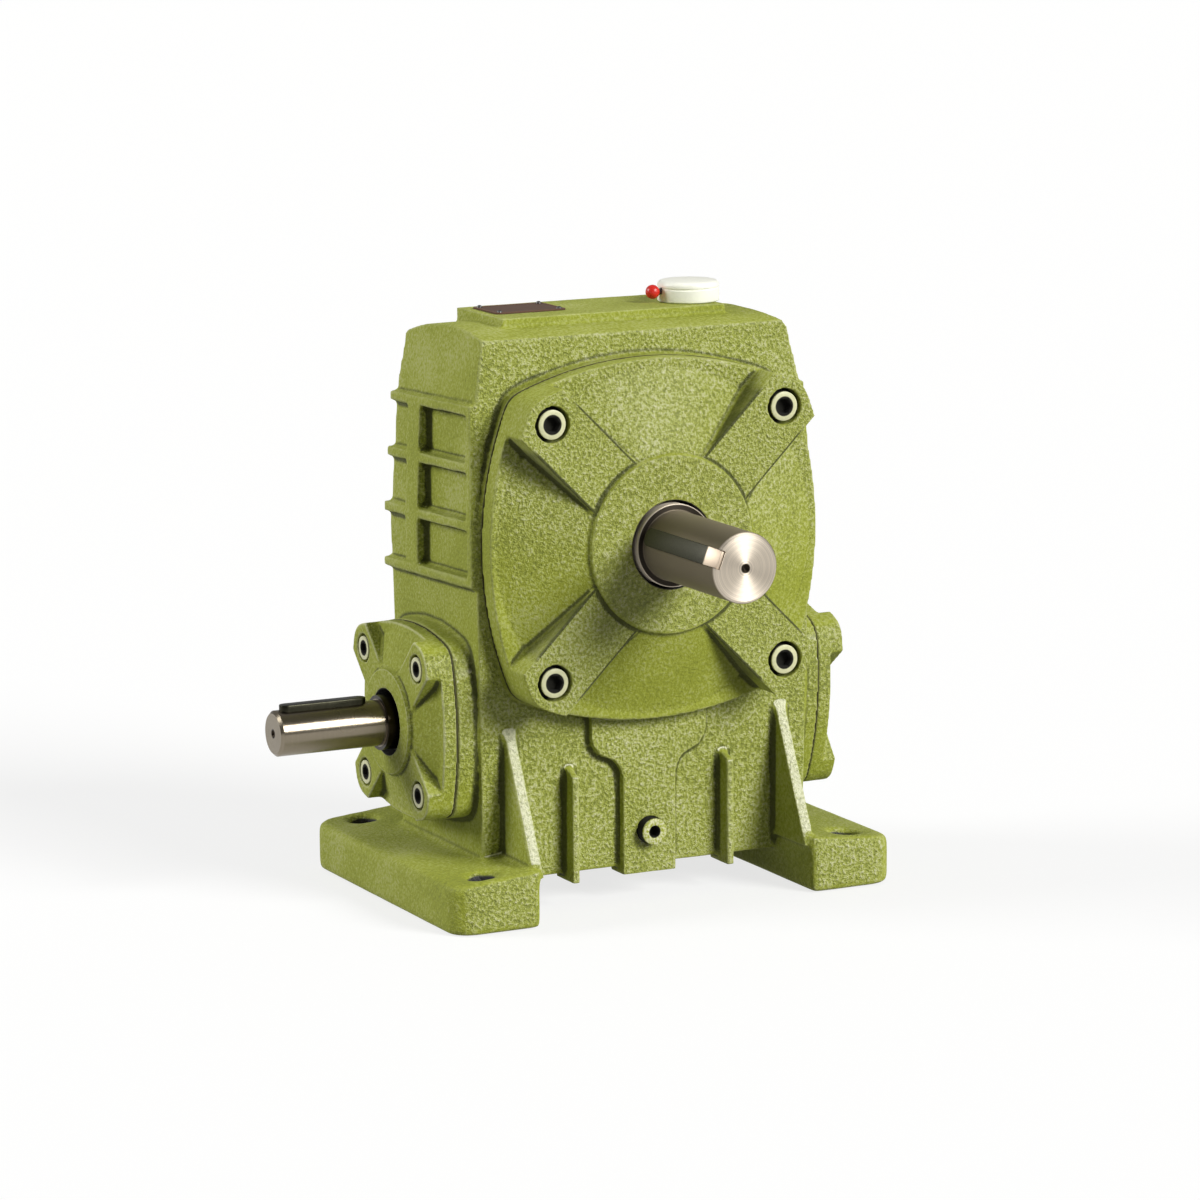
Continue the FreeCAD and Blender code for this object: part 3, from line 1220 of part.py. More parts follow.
def cover_seat_boss():
    """Flat seat for the output cover, standing out of the leaning front wall."""
    bowed = bowed_square(s.output_height, s.cover_screw_offset, s.cover_corner, s.cover_bulge)
    return prism("cover_seat_boss", bowed, "front", -s.cavity_front, s.front_wall)


def roof_pad():
    return box("roof_pad", (-s.pad_left, -s.pad_half_depth, s.roof_height - s.roof_wall),
               (s.pad_right, s.pad_half_depth, s.pad_height))


def housing_hollows():
    """Room for the wheel, the worm and the oil, with the bores that carry the bearings."""
    up = s.output_height
    wheel = cylinder("wheel_room_bore", s.opening_radius, s.front_depth + s.cavity_rear + CUT_MARGIN,
                     (0, -s.front_depth - CUT_MARGIN, up), ALONG_Y)
    oil = box("oil_room", (-s.cavity_half_width, -s.cavity_front, s.belly_height + s.floor_wall),
              (s.cavity_half_width, s.cavity_rear, up + s.roof_rear_edge - s.roof_wall))
    rear = cylinder("rear_bore", s.output_bearing_outside / 2, s.rear_boss_face + CUT_MARGIN,
                    (0, 0, up), ALONG_Y)
    worm = cylinder("worm_bore", s.worm_bearing_outside / 2, (s.boss_face + CUT_MARGIN) * 2,
                    (-s.boss_face - CUT_MARGIN, 0, s.worm_height), ALONG_X)
    vent = cylinder("vent_hole", s.breather_stem / 2 + s.slide_gap, s.pad_height,
                    (s.breather_offset_x, s.breather_offset_y, up))
    drain = cylinder("drain_hole", s.drain_diameter / 2 + s.slide_gap, s.panel_front + CUT_MARGIN,
                     (0, -s.panel_front - CUT_MARGIN, s.drain_height), ALONG_Y)
    return [wheel, oil, rear, worm, vent, drain]


def housing_holes():
    depth = s.foot_height + s.foot_rise + CUT_MARGIN * 2
    bolt = cylinder("bolt_hole", s.bolt_hole / 2, depth, (0, 0, -CUT_MARGIN))
    spots = [
        Placement(Vector(x * s.bolt_spacing_x.value / 2, y * s.bolt_spacing_y.value / 2, 0), UPRIGHT)
        for x in (-1, 1) for y in (-1, 1)
    ]
    bolts = group("bolt_holes", bolt, spots)
    tapped = cylinder("cover_tapping", s.cover_screw / 2 + s.slide_gap,
                      s.cover_screw_bite + CUT_MARGIN * 2, (0, 0, -s.cover_screw_bite - CUT_MARGIN))
    cover = group("cover_tappings", tapped, diagonal_places(s.cover_screw_offset, s.front_depth, "output"))
    tapped = cylinder("end_tapping", s.end_screw / 2 + s.slide_gap,
                      s.end_screw_bite + CUT_MARGIN * 2, (0, 0, -s.end_screw_bite - CUT_MARGIN))
    near = group("input_end_tappings", tapped, end_screw_places(end_levels(-1)[0], -1))
    far = group("far_end_tappings", tapped, end_screw_places(end_levels(1)[0], 1))
    return [bolts, cover, near, far]


def housing():
    frames, windows = side_ribs_and_windows()
    rear_radius = s.output_bearing_outside / 2 + s.rear_boss_wall
    rear_boss = cone("rear_boss", rear_radius, rear_radius - s.rear_boss_taper,
                     s.rear_boss_face - s.cavity_rear, (0, s.cavity_rear, s.output_height), ALONG_Y)
    solid = fuse("housing_solid", housing_shell(), foot("left_foot", -1), foot("right_foot", 1),
                 *gussets_and_ribs(), drain_panel(), frames, *end_bosses(), cover_seat_boss(),
                 rear_boss, roof_pad())
    return keep("housing", cut("housing", solid, *windows, *housing_hollows(), *housing_holes()))


def drain_plug():
    length = s.panel_front + s.drain_proud - s.cavity_front
    plug = cylinder("drain_plug_blank", s.drain_diameter / 2, length,
                    (0, -s.cavity_front, s.drain_height), FACING["front"])
    hexagon = doc.addObject("Part::Prism", "drain_plug_socket")
    hexagon.Polygon = 6
    bind(hexagon, Circumradius=s.drain_socket / math.sqrt(3), Height=s.drain_proud + CUT_MARGIN)
    place(hexagon, (0, -s.panel_front, s.drain_height), FACING["front"])
    return keep("drain_plug", cut("drain_plug", plug, hexagon))


def breather_cap():
    """Plastic vent cap with a rounded shoulder on a stem that screws into the pad."""
    x, y = s.breather_offset_x, s.breather_offset_y
    shoulder = s.breather_height / 4
    seat = s.pad_height
    stem = cylinder("breather_stem_rod", s.breather_stem / 2, s.breather_stem_length + CUT_MARGIN,
                    (x, y, seat - s.breather_stem_length))
    drum = cylinder("breather_drum", s.breather_diameter / 2, s.breather_height - shoulder, (x, y, seat))
    crown = cone("breather_crown", s.breather_diameter / 2, s.breather_diameter / 2 - shoulder, shoulder,
                 (x, y, seat + s.breather_height - shoulder))
    blank = fuse("breather_blank", stem, drum, crown)
    hole = cylinder("breather_vent", s.vent_stem_diameter / 2 + s.press_gap, s.breather_diameter / 2,
                    (x - s.breather_diameter / 2 - CUT_MARGIN, y, seat + s.breather_height / 2), ALONG_X)
    return keep("breather_cap", cut("breather_cap", blank, hole))


def breather_plug():
    """Ball-headed plug pushed into the side of the breather for transport."""
    y, z = s.breather_offset_y, s.pad_height + s.breather_height / 2
    ball_at = s.breather_offset_x - s.breather_diameter / 2 - s.vent_plug_gap - s.vent_plug_diameter / 2
    ball = doc.addObject("Part::Sphere", "vent_ball")
    bind(ball, Radius=s.vent_plug_diameter / 2)
    place(ball, (ball_at, y, z))
    stem = cylinder("vent_stem", s.vent_stem_diameter / 2,
                    s.breather_offset_x - s.breather_diameter / 4 - ball_at, (ball_at, y, z), ALONG_X)
    return keep("breather_plug", fuse("breather_plug", ball, stem))


def nameplate():
    x, y = s.plate_offset_x, s.plate_offset_y
    plate = box("nameplate", (x - s.plate_width / 2, y - s.plate_depth / 2, s.pad_height),
                (x + s.plate_width / 2, y + s.plate_depth / 2, s.pad_height + s.plate_thickness))
    keep("nameplate", plate)
    rise, half = s.rivet_height, s.rivet_diameter / 2
    dome_radius = (half * half + rise * rise) / (rise * 2)
    ball = doc.addObject("Part::Sphere", "rivet_ball")
    bind(ball, Radius=dome_radius)
    place(ball, (0, 0, rise - dome_radius))
    slab = cylinder("rivet_slab", s.rivet_diameter, rise, (0, 0, 0))
    rivet = common("rivet", ball, slab)
    spots = []
    for across in (-1, 1):
        for deep in (-1, 1):
            spot_x = x + (s.plate_width / 2 - s.rivet_inset) * across
            spot_y = y + (s.plate_depth / 2 - s.rivet_inset) * deep
            top = s.pad_height + s.plate_thickness
            spots.append(Placement(Vector(spot_x.value, spot_y.value, top.value), UPRIGHT))
    return keep("nameplate_rivets", group("nameplate_rivets", rivet, spots))


def covers_and_screws():
    output_cover()
    output_cover_gasket()
    screws("output_cover_screws", "output", s.cover_screw, s.cover_screw_head, s.cover_screw_socket,
           s.cover_screw_bite, s.cover_screw_offset, s.cover_lug_face, s.front_depth)
    shaft_seal("output_seal", "output", s.output_bearing_outer + SEAL_STANDOFF + s.seal_width,
               s.output_bearing_bore, s.output_seal_outside)
    shaft_seal("input_seal", "worm", s.end_seat + s.end_flange / 4 + s.seal_width,
               s.worm_bearing_bore, s.input_seal_outside)
    for prefix, side in (("input_cover", -1), ("blind_cover", 1)):
        end_cover(prefix, side)
        end_cover_shim(prefix + "_shim", side)
        end_screws(prefix + "_screws", side)


def end_screws(node, side):
    boss, _, lug_face, _ = end_levels(side)
    seat = lug_face - s.end_screw - s.slide_gap * 5
    master = cap_screw(node + "_master", s.end_screw, s.end_screw_head,
                       seat - boss + s.end_screw_bite, s.end_screw_socket)
    return keep(node, group(node, master, end_screw_places(seat, side)))


def write_pieces():
    doc.recompute()
    failed = [item.Name for item in doc.Objects if {"Invalid", "Error"} & set(item.State)]
    for node, item in pieces.items():
        if item.Shape.isNull() or not item.Shape.isValid() or not item.Shape.Solids:
            failed.append(node)
    if failed:
        raise RuntimeError("failed: " + ", ".join(failed))
    os.makedirs("parts", exist_ok=True)
    for node, item in pieces.items():
        item.Shape.exportStep(os.path.join("parts", node + ".step"))


def main():
    name_layout()
    housing()
    covers_and_screws()
    rear_closing_cap()
    drain_plug()
    breather_cap()
    breather_plug()
    nameplate()
    output_shaft()
    worm_wheel_hub()
    worm_wheel_rim()
    wheel_key()
    output_key()
    spacer_sleeve()
    worm_shaft()
    input_key()
    bearings()
    write_pieces()


main()
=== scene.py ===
import json
import math

import bmesh
import bpy
import numpy as np
from bpy.props import FloatProperty, FloatVectorProperty, IntProperty, PointerProperty
from bpy.types import Operator, Panel, PropertyGroup
from mathutils import Matrix, Quaternion, Vector

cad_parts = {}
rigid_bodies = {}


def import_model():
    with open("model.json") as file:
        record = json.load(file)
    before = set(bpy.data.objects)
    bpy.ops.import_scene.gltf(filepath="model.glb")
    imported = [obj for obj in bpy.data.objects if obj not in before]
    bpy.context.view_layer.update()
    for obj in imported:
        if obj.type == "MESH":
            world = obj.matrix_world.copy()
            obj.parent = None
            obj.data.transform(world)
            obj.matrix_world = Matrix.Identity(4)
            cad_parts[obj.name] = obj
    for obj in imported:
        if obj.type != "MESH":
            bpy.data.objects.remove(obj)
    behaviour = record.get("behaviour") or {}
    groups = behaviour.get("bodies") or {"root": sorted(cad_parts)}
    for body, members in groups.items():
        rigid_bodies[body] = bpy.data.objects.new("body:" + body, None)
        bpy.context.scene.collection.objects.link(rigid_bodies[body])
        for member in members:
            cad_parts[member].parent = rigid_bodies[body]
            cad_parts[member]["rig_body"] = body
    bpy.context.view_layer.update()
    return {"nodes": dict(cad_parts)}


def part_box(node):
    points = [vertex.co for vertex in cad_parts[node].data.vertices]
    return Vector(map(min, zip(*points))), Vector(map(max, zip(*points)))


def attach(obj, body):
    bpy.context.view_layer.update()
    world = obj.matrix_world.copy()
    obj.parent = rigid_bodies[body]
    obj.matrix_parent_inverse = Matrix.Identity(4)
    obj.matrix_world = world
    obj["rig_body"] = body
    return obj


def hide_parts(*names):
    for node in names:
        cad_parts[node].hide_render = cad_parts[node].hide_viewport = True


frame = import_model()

bl_info = {
    "name": "Worm gear reducer finish",
    "version": (1, 0, 0),
    "blender": (4, 5, 0),
    "location": "3D View > Sidebar > Reducer",
    "description": "Cast skins, paint, metals and a studio for a foot-mounted worm gear reducer",
    "category": "Object",
}

MM = 0.001
WELD = 1e-6
WHITE = 1.0, 1.0, 1.0
RELIEF = "relief"
NOISE_RANGE = 0.3, 0.7

# Places on the castings, in metres

OUTPUT_HEIGHT = 0.2
WORM_HEIGHT = 0.1
COVER_SCREW_OFFSET = 0.0694
END_SCREW_OFFSET = 0.0347
FAR_TURN = math.radians(8)
COVER_ARM_WIDTH = 0.036
COVER_ARM_REACH = 0.0487, 0.1
COVER_RELIEF = 0.02
FOOT_BOLT_X = 0.11
FOOT_BOLT_Y = 0.0775
FOOT_TOP = 0.036
FOOT_TOP_FADE = FOOT_TOP * 0.2
FOOT_INNER = 0.082
FOOT_INNER_FADE = FOOT_INNER * 0.04
ROOF_HEIGHT = 0.3
PAD_FOOT = 0.3122

# Radii of bores and sockets, in metres

FOOT_HOLE = 0.0079
COVER_BORE = 0.0246
COVER_COUNTERBORE = 0.0099
END_BORE = 0.0187
END_COUNTERBORE = 0.0079
COVER_SOCKET = 0.0056
END_SOCKET = 0.0046
DRAIN_SOCKET = 0.0037
HOLE_BLUR = 0.0004

# Places on the shafts, in metres, from where a colour starts to where it is full

# CENTRE_HOLE, OUTPUT_SHOULDER and WORM_JOURNAL bound a dark colour: partly oil, partly painted
# shade
CENTRE_HOLE = 0.0029, 0.0023
OUTPUT_SHOULDER = 0.0192, 0.0196
OUTPUT_RIM = 0.0218, 0.0222
OUTPUT_FACE = -0.1712
OUTPUT_FACE_FADE = 0.0006
OUTPUT_KEY_SLOPE = -0.1618, -0.1626
WORM_JOURNAL = 0.0128, 0.0132
WORM_OUTSIDE = -0.12, -0.124


def tone(red, green, blue):
    """Linear colour of an eight-bit screen colour."""
    return tuple(((c / 255 + 0.055) / 1.055) ** 2.4 for c in (red, green, blue))


def scaled(rgb, part):
    """A colour made darker, or paler where part is over one."""
    return tuple(c * part for c in rgb)


def length(name, description, default):
    return FloatProperty(
        name=name, description=description, default=default, min=0.0, precision=5, unit="LENGTH"
    )


def number(name, description, default, least=0.0):
    return FloatProperty(name=name, description=description, default=default, min=least)


def rounds(name, description, default, least=0):
    return IntProperty(name=name, description=description, default=default, min=least)


def share(name, description, default):
    return FloatProperty(
        name=name, description=description, default=default, min=0.0, max=1.0, subtype="FACTOR"
    )


def angle(name, description, degrees):
    turn = math.radians(degrees)
    return FloatProperty(
        name=name, description=description, default=turn, subtype="ANGLE", unit="ROTATION"
    )


def colour(name, description, default):
    return FloatVectorProperty(
        name=name, description=description, default=default, size=3, min=0.0, max=1.0,
        subtype="COLOR",
    )


# Settings

class CastingSettings(PropertyGroup):
    """Skins of the sand-cast pieces."""

    housing_step: length("Housing step", "Mesh step of the housing's skin", 0.0012)
    output_cover_step: length("Output cover step", "Mesh step of the output cover's skin", 0.001)
    end_cover_step: length("End cover step", "Mesh step of the end covers' skins", 0.0009)
    edge_passes: rounds("Edge passes", "Smoothing passes that round the cast edges", 2)
    foot_passes: rounds("Foot passes", "More passes that round the edges of the feet", 15)
    lump_size: length("Lump size", "Width of the slow waves in the cast skin", 0.014)
    lump_depth: length("Lump depth", "Depth of the slow waves in the cast skin", 0.0003)
    relief_passes: rounds("Relief passes", "Reach of the mask for edges and corners", 5, 1)


class PaintSettings(PropertyGroup):
    """Green hammered paint of the castings and fasteners."""

    body: colour("Body", "Main green of the paint", tone(150, 158, 26))
    pits: colour("Pits", "Darker green in the dimples", tone(116, 124, 8))
    # Pale crowns: paint tone, and with the dimples' share a painted sheen on front, rear and upward
    # faces
    crowns: colour("Crowns", "Paler green between the dimples", tone(206, 206, 162))
    # Pale edge colour: partly thin paint, partly a painted highlight on sharp edges and on the
    # gussets' front edges
    edges: colour("Edges", "Thin paint along sharp edges", tone(230, 230, 196))
    # Painted shade: dark colour laid into creases and inner corners, where shade falls
    corners: colour("Corners", "Dirt and thick paint in inner corners", tone(34, 38, 2))
    drawn_skin: share("Drawn skin", "Dimples left on faces drawn along the mould", 0.35)
    dimple_size: length("Dimple size", "Width of one dimple in the hammered paint", 0.0017)
    dimple_depth: length("Dimple depth", "Depth of the dimples", 0.0017)
    roughness: share("Roughness", "Roughness of the paint", 0.58)
    drawn_roughness: share("Drawn roughness", "Roughness on faces drawn along the mould", 0.85)
    gloss: share("Gloss", "Clear gloss over the paint", 0.03)
    screw_paint: colour("Screw paint", "Thin paint on the screw heads", tone(214, 213, 168))
    # Dark colour in sockets, bores and counterbores: partly oily steel, partly painted shade in
    # these recesses
    socket: colour("Socket", "Oily steel in sockets, bores and counterbores", tone(20, 19, 10))


class MetalSettings(PropertyGroup):
    """Bare metals."""

    steel: colour("Steel", "Turned steel of the shafts' ends", tone(218, 206, 188))
    # Dark key colour: partly dull steel, partly a painted dark reflection on the keys' tops
    key: colour("Key steel", "Dull drawn steel of the keys", tone(56, 55, 44))
    # Darker ground colour: partly a duller finish, partly painted shade and dark reflection on the
    # shafts' flanks
    ground: colour("Ground steel", "Darker ground steel of the shafts", tone(118, 109, 92))
    # Painted highlight on the output key's front slope
    key_slope_highlight: colour("Ramp", "Freshly cut slope on the output key", tone(206, 188, 166))
    # Dark oiled colour: partly oil, partly painted shade in centre holes, on the output shoulder
    # and on the worm's journal
    oiled: colour("Oiled steel", "Dark oily steel of journals and centres", tone(44, 38, 30))
    bearing: colour("Bearing steel", "Hardened steel of the bearings", tone(188, 190, 194))
    cage: colour("Cage steel", "Pressed sheet of the cages", tone(150, 146, 138))
    iron: colour("Hub iron", "Machined iron of the wheel's hub", tone(126, 124, 122))
    bronze: colour("Bronze", "Bronze of the worm wheel's rim", tone(206, 160, 92))
    plate: colour("Plate", "Dark anodised face of the nameplate", tone(92, 64, 46))
    turning_pitch: length("Turning pitch", "Spacing of the turning marks", 0.0007)


class TrimSettings(PropertyGroup):
    """Plastics, rubber and paper."""

    cap: colour("Cap", "White plastic of the breather cap", tone(250, 250, 236))
    vent: colour("Vent", "Red plastic of the vent plug", tone(206, 38, 28))
    stem: colour("Stem", "Dark stem of the vent plug", tone(46, 26, 20))
    rubber: colour("Rubber", "Shaft seals", tone(30, 28, 24))
    paper: colour("Paper", "Gasket and shims", tone(84, 82, 40))


class StudioSettings(PropertyGroup):
    """Floor, lamps and camera."""

    floor: colour("Floor", "Pale floor as it is seen", tone(130, 130, 129))
    floor_glow: share("Floor glow", "Even white added to the floor as it is seen", 0.755)
    floor_bounce: colour("Floor bounce", "Floor as it lights the object", tone(120, 120, 118))
    floor_size: length("Floor size", "Width of the floor", 60.0)
    sky_front: number("Front sky", "Strength of the room's light from the front", 0.16)
    sky_rear: number("Rear sky", "Strength of the backdrop's light from the rear", 0.34)
    key_power: number("Key power", "Strength of the key lamp", 3.6)
    key_turn: angle("Key turn", "Key lamp round from the front, to the right", 29)
    key_rise: angle("Key rise", "Key lamp above the floor", 28)
    key_spread: angle("Key spread", "Width of the key lamp", 26)
    fill_power: number("Fill power", "Strength of the fill lamp", 1.95)
    fill_turn: angle("Fill turn", "Fill lamp round from the front, to the left", 114)
    fill_rise: angle("Fill rise", "Fill lamp above the floor", 26)
    fill_spread: angle("Fill spread", "Width of the fill lamp", 26)
    view_turn: angle("View turn", "Camera round from the front, to the right", -26.34)
    view_rise: angle("View rise", "Camera above the floor", 11.54)
    view_roll: angle("View roll", "Camera turned about its own axis", -0.47)
    view_lift: angle("View lift", "Camera tipped up from its target", 1.1146)
    view_distance: length("View distance", "Camera from its target", 2.81116)
    target_height: length("Target height", "Camera's target above the floor", 0.1)
    lens: number("Lens", "Focal length in millimetres", 152.356, 1.0)


# Node building

class Finish:
    """A material, with short calls that add nodes to it and give back their outputs."""

    def __init__(self, name):
        self.material = bpy.data.materials.new(name)
        self.material.use_nodes = True
        self.tree = self.material.node_tree
        self.tree.nodes.clear()
        output = self.tree.nodes.new("ShaderNodeOutputMaterial")
        self.shader = self.tree.nodes.new("ShaderNodeBsdfPrincipled")
        self.tree.links.new(self.shader.outputs["BSDF"], output.inputs["Surface"])

    def node(self, kind, inputs=(), **settings):
        made = self.tree.nodes.new(kind)
        for key, value in settings.items():
            setattr(made, key, value)
        for key, value in dict(inputs).items():
            self.feed(made.inputs[key], value)
        return made

    def feed(self, socket, value):
        """Link an output to a socket, or set the socket to a number, vector or colour."""
        if isinstance(value, bpy.types.NodeSocket):
            self.tree.links.new(value, socket)
        elif socket.type == "RGBA":
            socket.default_value = (*value, 1.0)
        else:
            socket.default_value = value

    def set(self, **values):
        """Set or link sockets of the shader, by name with _ for a space."""
        for key, value in values.items():
            self.feed(self.shader.inputs[key.replace("_", " ")], value)

    def place(self):
        return self.node("ShaderNodeTexCoord").outputs["Object"]

    def apart(self, vector):
        """A vector's X, Y and Z."""
        return self.node("ShaderNodeSeparateXYZ", {"Vector": vector}).outputs

    def stretched(self, vector, scale):
        made = self.node("ShaderNodeMapping", {"Vector": vector, "Scale": scale})
        return made.outputs["Vector"]

    def noise(self, vector, size, detail=2.0, roughness=0.5):
        made = self.node(
            "ShaderNodeTexNoise",
            {"Vector": vector, "Scale": 1 / size, "Detail": detail, "Roughness": roughness},
        )
        return made.outputs["Fac"]

    def lines(self, along, size, detail):
        """Noise along one value only."""
        made = self.node(
            "ShaderNodeTexNoise",
            {"W": along, "Scale": 1 / size, "Detail": detail},
            noise_dimensions="1D",
        )
        return made.outputs["Fac"]

    def reckon(self, operation, first, second=0.0):
        made = self.node("ShaderNodeMath", {0: first, 1: second}, operation=operation)
        return made.outputs["Value"]

    def plus(self, first, second):
        return self.reckon("ADD", first, second)

    def minus(self, first, second):
        return self.reckon("SUBTRACT", first, second)

    def times(self, first, *others):
        for other in others:
            first = self.reckon("MULTIPLY", first, other)
        return first

    def most(self, first, second):
        return self.reckon("MAXIMUM", first, second)

    def unsigned(self, value):
        return self.reckon("ABSOLUTE", value)

    def span(self, value, low, high, to_low=0.0, to_high=1.0):
        """A value taken from one range to another, and kept inside that."""
        inputs = {"From Min": low, "From Max": high, "To Min": to_low, "To Max": to_high}
        made = self.node("ShaderNodeMapRange", {"Value": value, **inputs})
        return made.outputs["Result"]

    def swing(self, noise, low=0.0, high=1.0):
        """Noise taken from its usual range to a low and a high value."""
        return self.span(noise, *NOISE_RANGE, low, high)

    def mix(self, factor, first, second):
        """A colour between two others. The numbers are the node's sockets for colours."""
        made = self.node("ShaderNodeMix", {0: factor, 6: first, 7: second}, data_type="RGBA")
        return made.outputs[2]

    def bump(self, height, distance, strength=1.0):
        made = self.node(
            "ShaderNodeBump", {"Height": height, "Distance": distance, "Strength": strength}
        )
        return made.outputs["Normal"]

    def hollow(self, axis, spots, radius):
        """One inside round holes of a radius, which run along an axis through the spots."""
        kept = tuple(float(letter != axis) for letter in "XYZ")
        flat = self.node("ShaderNodeVectorMath", {0: self.place(), 1: kept}, operation="MULTIPLY")
        inside = 0.0
        for spot in spots:
            away = self.node(
                "ShaderNodeVectorMath", {0: flat.outputs["Vector"], 1: spot}, operation="DISTANCE"
            )
            near = self.span(away.outputs["Value"], radius, radius - HOLE_BLUR)
            inside = self.most(near, inside)
        return inside

    def reach(self, axis, height):
        """(distance along a level axis, distance from that axis)."""
        at = self.apart(self.place())
        across = at["Y" if axis == "X" else "X"]
        rise = self.minus(at["Z"], height)
        flat = self.node("ShaderNodeCombineXYZ", {"X": across, "Y": rise, "Z": 0.0})
        radius = self.node("ShaderNodeVectorMath", {0: flat.outputs["Vector"]}, operation="LENGTH")
        return at[axis], radius.outputs["Value"]


# Mesh helpers

FLAT_ANGLE = math.radians(0.6)
BROKEN_ANGLE = math.radians(38)
MACHINED_SHARP = math.radians(32)
SCREW_CHAMFER = 0.0006
KEY_CHAMFER = 0.0004


def new_piece(name, data):
    piece = bpy.data.objects.new(name, data)
    bpy.context.scene.collection.objects.link(piece)
    return piece


def drawn(shape, name):
    """A mesh from a bmesh, which is freed."""
    mesh = bpy.data.meshes.new(name)
    shape.to_mesh(mesh)
    shape.free()
    return mesh


def bare_copy(node, name):
    """A welded copy of a node's faces, with no stored normals or materials."""
    shape = bmesh.new()
    shape.from_mesh(frame["nodes"][node].data)
    bmesh.ops.remove_doubles(shape, verts=shape.verts, dist=WELD)
    mesh = drawn(shape, name)
    if "custom_normal" in mesh.attributes:
        mesh.attributes.remove(mesh.attributes["custom_normal"])
    mesh.materials.clear()
    return mesh


def settle(piece):
    """Replace a piece's mesh by what its modifiers make of it."""
    graph = bpy.context.evaluated_depsgraph_get()
    made = bpy.data.meshes.new_from_object(piece.evaluated_get(graph))
    made.name = piece.name
    piece.modifiers.clear()
    piece.data = made


def points_and_edges(mesh):
    points = np.empty(len(mesh.vertices) * 3)
    edges = np.empty(len(mesh.edges) * 2, dtype=np.int32)
    mesh.vertices.foreach_get("co", points)
    mesh.edges.foreach_get("vertices", edges)
    return points.reshape(-1, 3), edges.reshape(-1, 2)


def smoothed(points, edges, passes):
    """Points moved to the mean of their neighbours, several times."""
    ends = np.concatenate([edges[:, 0], edges[:, 1]])
    starts = np.concatenate([edges[:, 1], edges[:, 0]])
    count = len(points)
    valence = np.maximum(np.bincount(ends, minlength=count), 1)
    for _ in range(passes):
        columns = [np.bincount(ends, points[starts, k], count) / valence for k in range(3)]
        points = np.stack(columns, axis=1)
    return points


def mark_relief(mesh, passes):
    """Store how far each point stands above its surroundings, in millimetres."""
    points, edges = points_and_edges(mesh)
    normals = np.empty(points.size)
    mesh.vertices.foreach_get("normal", normals)
    lift = points - smoothed(points, edges, passes)
    height = (lift * normals.reshape(-1, 3)).sum(axis=1) / MM
    layer = mesh.attributes.new(RELIEF, "FLOAT", "POINT")
    layer.data.foreach_set("value", height.astype(np.float32))


def round_feet(mesh, passes):
    """Round the edges of the feet, less and less towards the walls."""
    points, edges = points_and_edges(mesh)
    rounded = smoothed(points, edges, passes)
    low = np.clip((FOOT_TOP - points[:, 2]) / FOOT_TOP_FADE, 0.0, 1.0)
    outside = np.clip((np.abs(points[:, 0]) - FOOT_INNER) / FOOT_INNER_FADE + 1.0, 0.0, 1.0)
    points = points + (rounded - points) * (low * outside)[:, None]
    mesh.vertices.foreach_set("co", points.ravel())
    mesh.update()


def stand_for(piece, node, finish):
    """Let a piece replace a node on the node's own body."""
    piece.data.materials.clear()
    piece.data.materials.append(finish)
    piece.data.polygons.foreach_set("use_smooth", [True] * len(piece.data.polygons))
    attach(piece, frame["nodes"][node]["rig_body"])
    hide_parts(node)


def cast_skin(node, step, finish, settings):
    """A cast node with rounded edges, filled inner corners and a slightly wavy skin.

    The waves only go inward, so that the skin stays inside the node's own box."""
    piece = new_piece(node + "_skin", bare_copy(node, node + "_skin"))
    even = piece.modifiers.new("even_mesh", "REMESH")
    even.mode = "VOXEL"
    even.voxel_size = step
    edges = piece.modifiers.new("round_edges", "SMOOTH")
    edges.factor = 0.5
    edges.iterations = settings.edge_passes
    waves = bpy.data.textures.new(node + "_waves", "CLOUDS")
    waves.noise_scale = settings.lump_size
    waves.noise_depth = 2
    skin = piece.modifiers.new("wavy_skin", "DISPLACE")
    skin.texture = waves
    skin.texture_coords = "LOCAL"
    skin.mid_level = 1.0
    skin.strength = settings.lump_depth
    settle(piece)
    if node == "housing":
        round_feet(piece.data, settings.foot_passes)
    mark_relief(piece.data, settings.relief_passes)
    stand_for(piece, node, finish)


def chamfered(node, width, finish):
    """A machined node with its sharp edges broken."""
    mesh = bare_copy(node, node + "_part")
    shape = bmesh.new()
    shape.from_mesh(mesh)
    bmesh.ops.dissolve_limit(
        shape, angle_limit=FLAT_ANGLE, verts=shape.verts, edges=shape.edges, delimit=set()
    )
    shape.to_mesh(mesh)
    shape.free()
    piece = new_piece(node + "_part", mesh)
    broken = piece.modifiers.new("broken_edges", "BEVEL")
    broken.width = width
    broken.segments = 2
    broken.limit_method = "ANGLE"
    broken.angle_limit = BROKEN_ANGLE
    broken.harden_normals = False
    settle(piece)
    stand_for(piece, node, finish)
    piece.data.set_sharp_from_angle(angle=MACHINED_SHARP)


def turned_mesh(name, profile, steps, place):
    """A closed turned shape from (radius, height) points, about Z, then put in place."""
    shape = bmesh.new()
    rings = []
    for radius, height in profile:
        if radius < WELD:
            rings.append([shape.verts.new(place @ Vector((0.0, 0.0, height)))])
            continue
        ring = []
        for step in range(steps):
            turn = 2 * math.pi * step / steps
            spot = Vector((radius * math.cos(turn), radius * math.sin(turn), height))
            ring.append(shape.verts.new(place @ spot))
        rings.append(ring)
    for low, high in zip(rings, rings[1:]):
        for step in range(steps):
            following = (step + 1) % steps
            corners = [low[step % len(low)], low[following % len(low)]]
            corners += [high[following % len(high)], high[step % len(high)]]
            shape.faces.new(list(dict.fromkeys(corners)))
    bmesh.ops.recalc_face_normals(shape, faces=shape.faces)
    return drawn(shape, name)


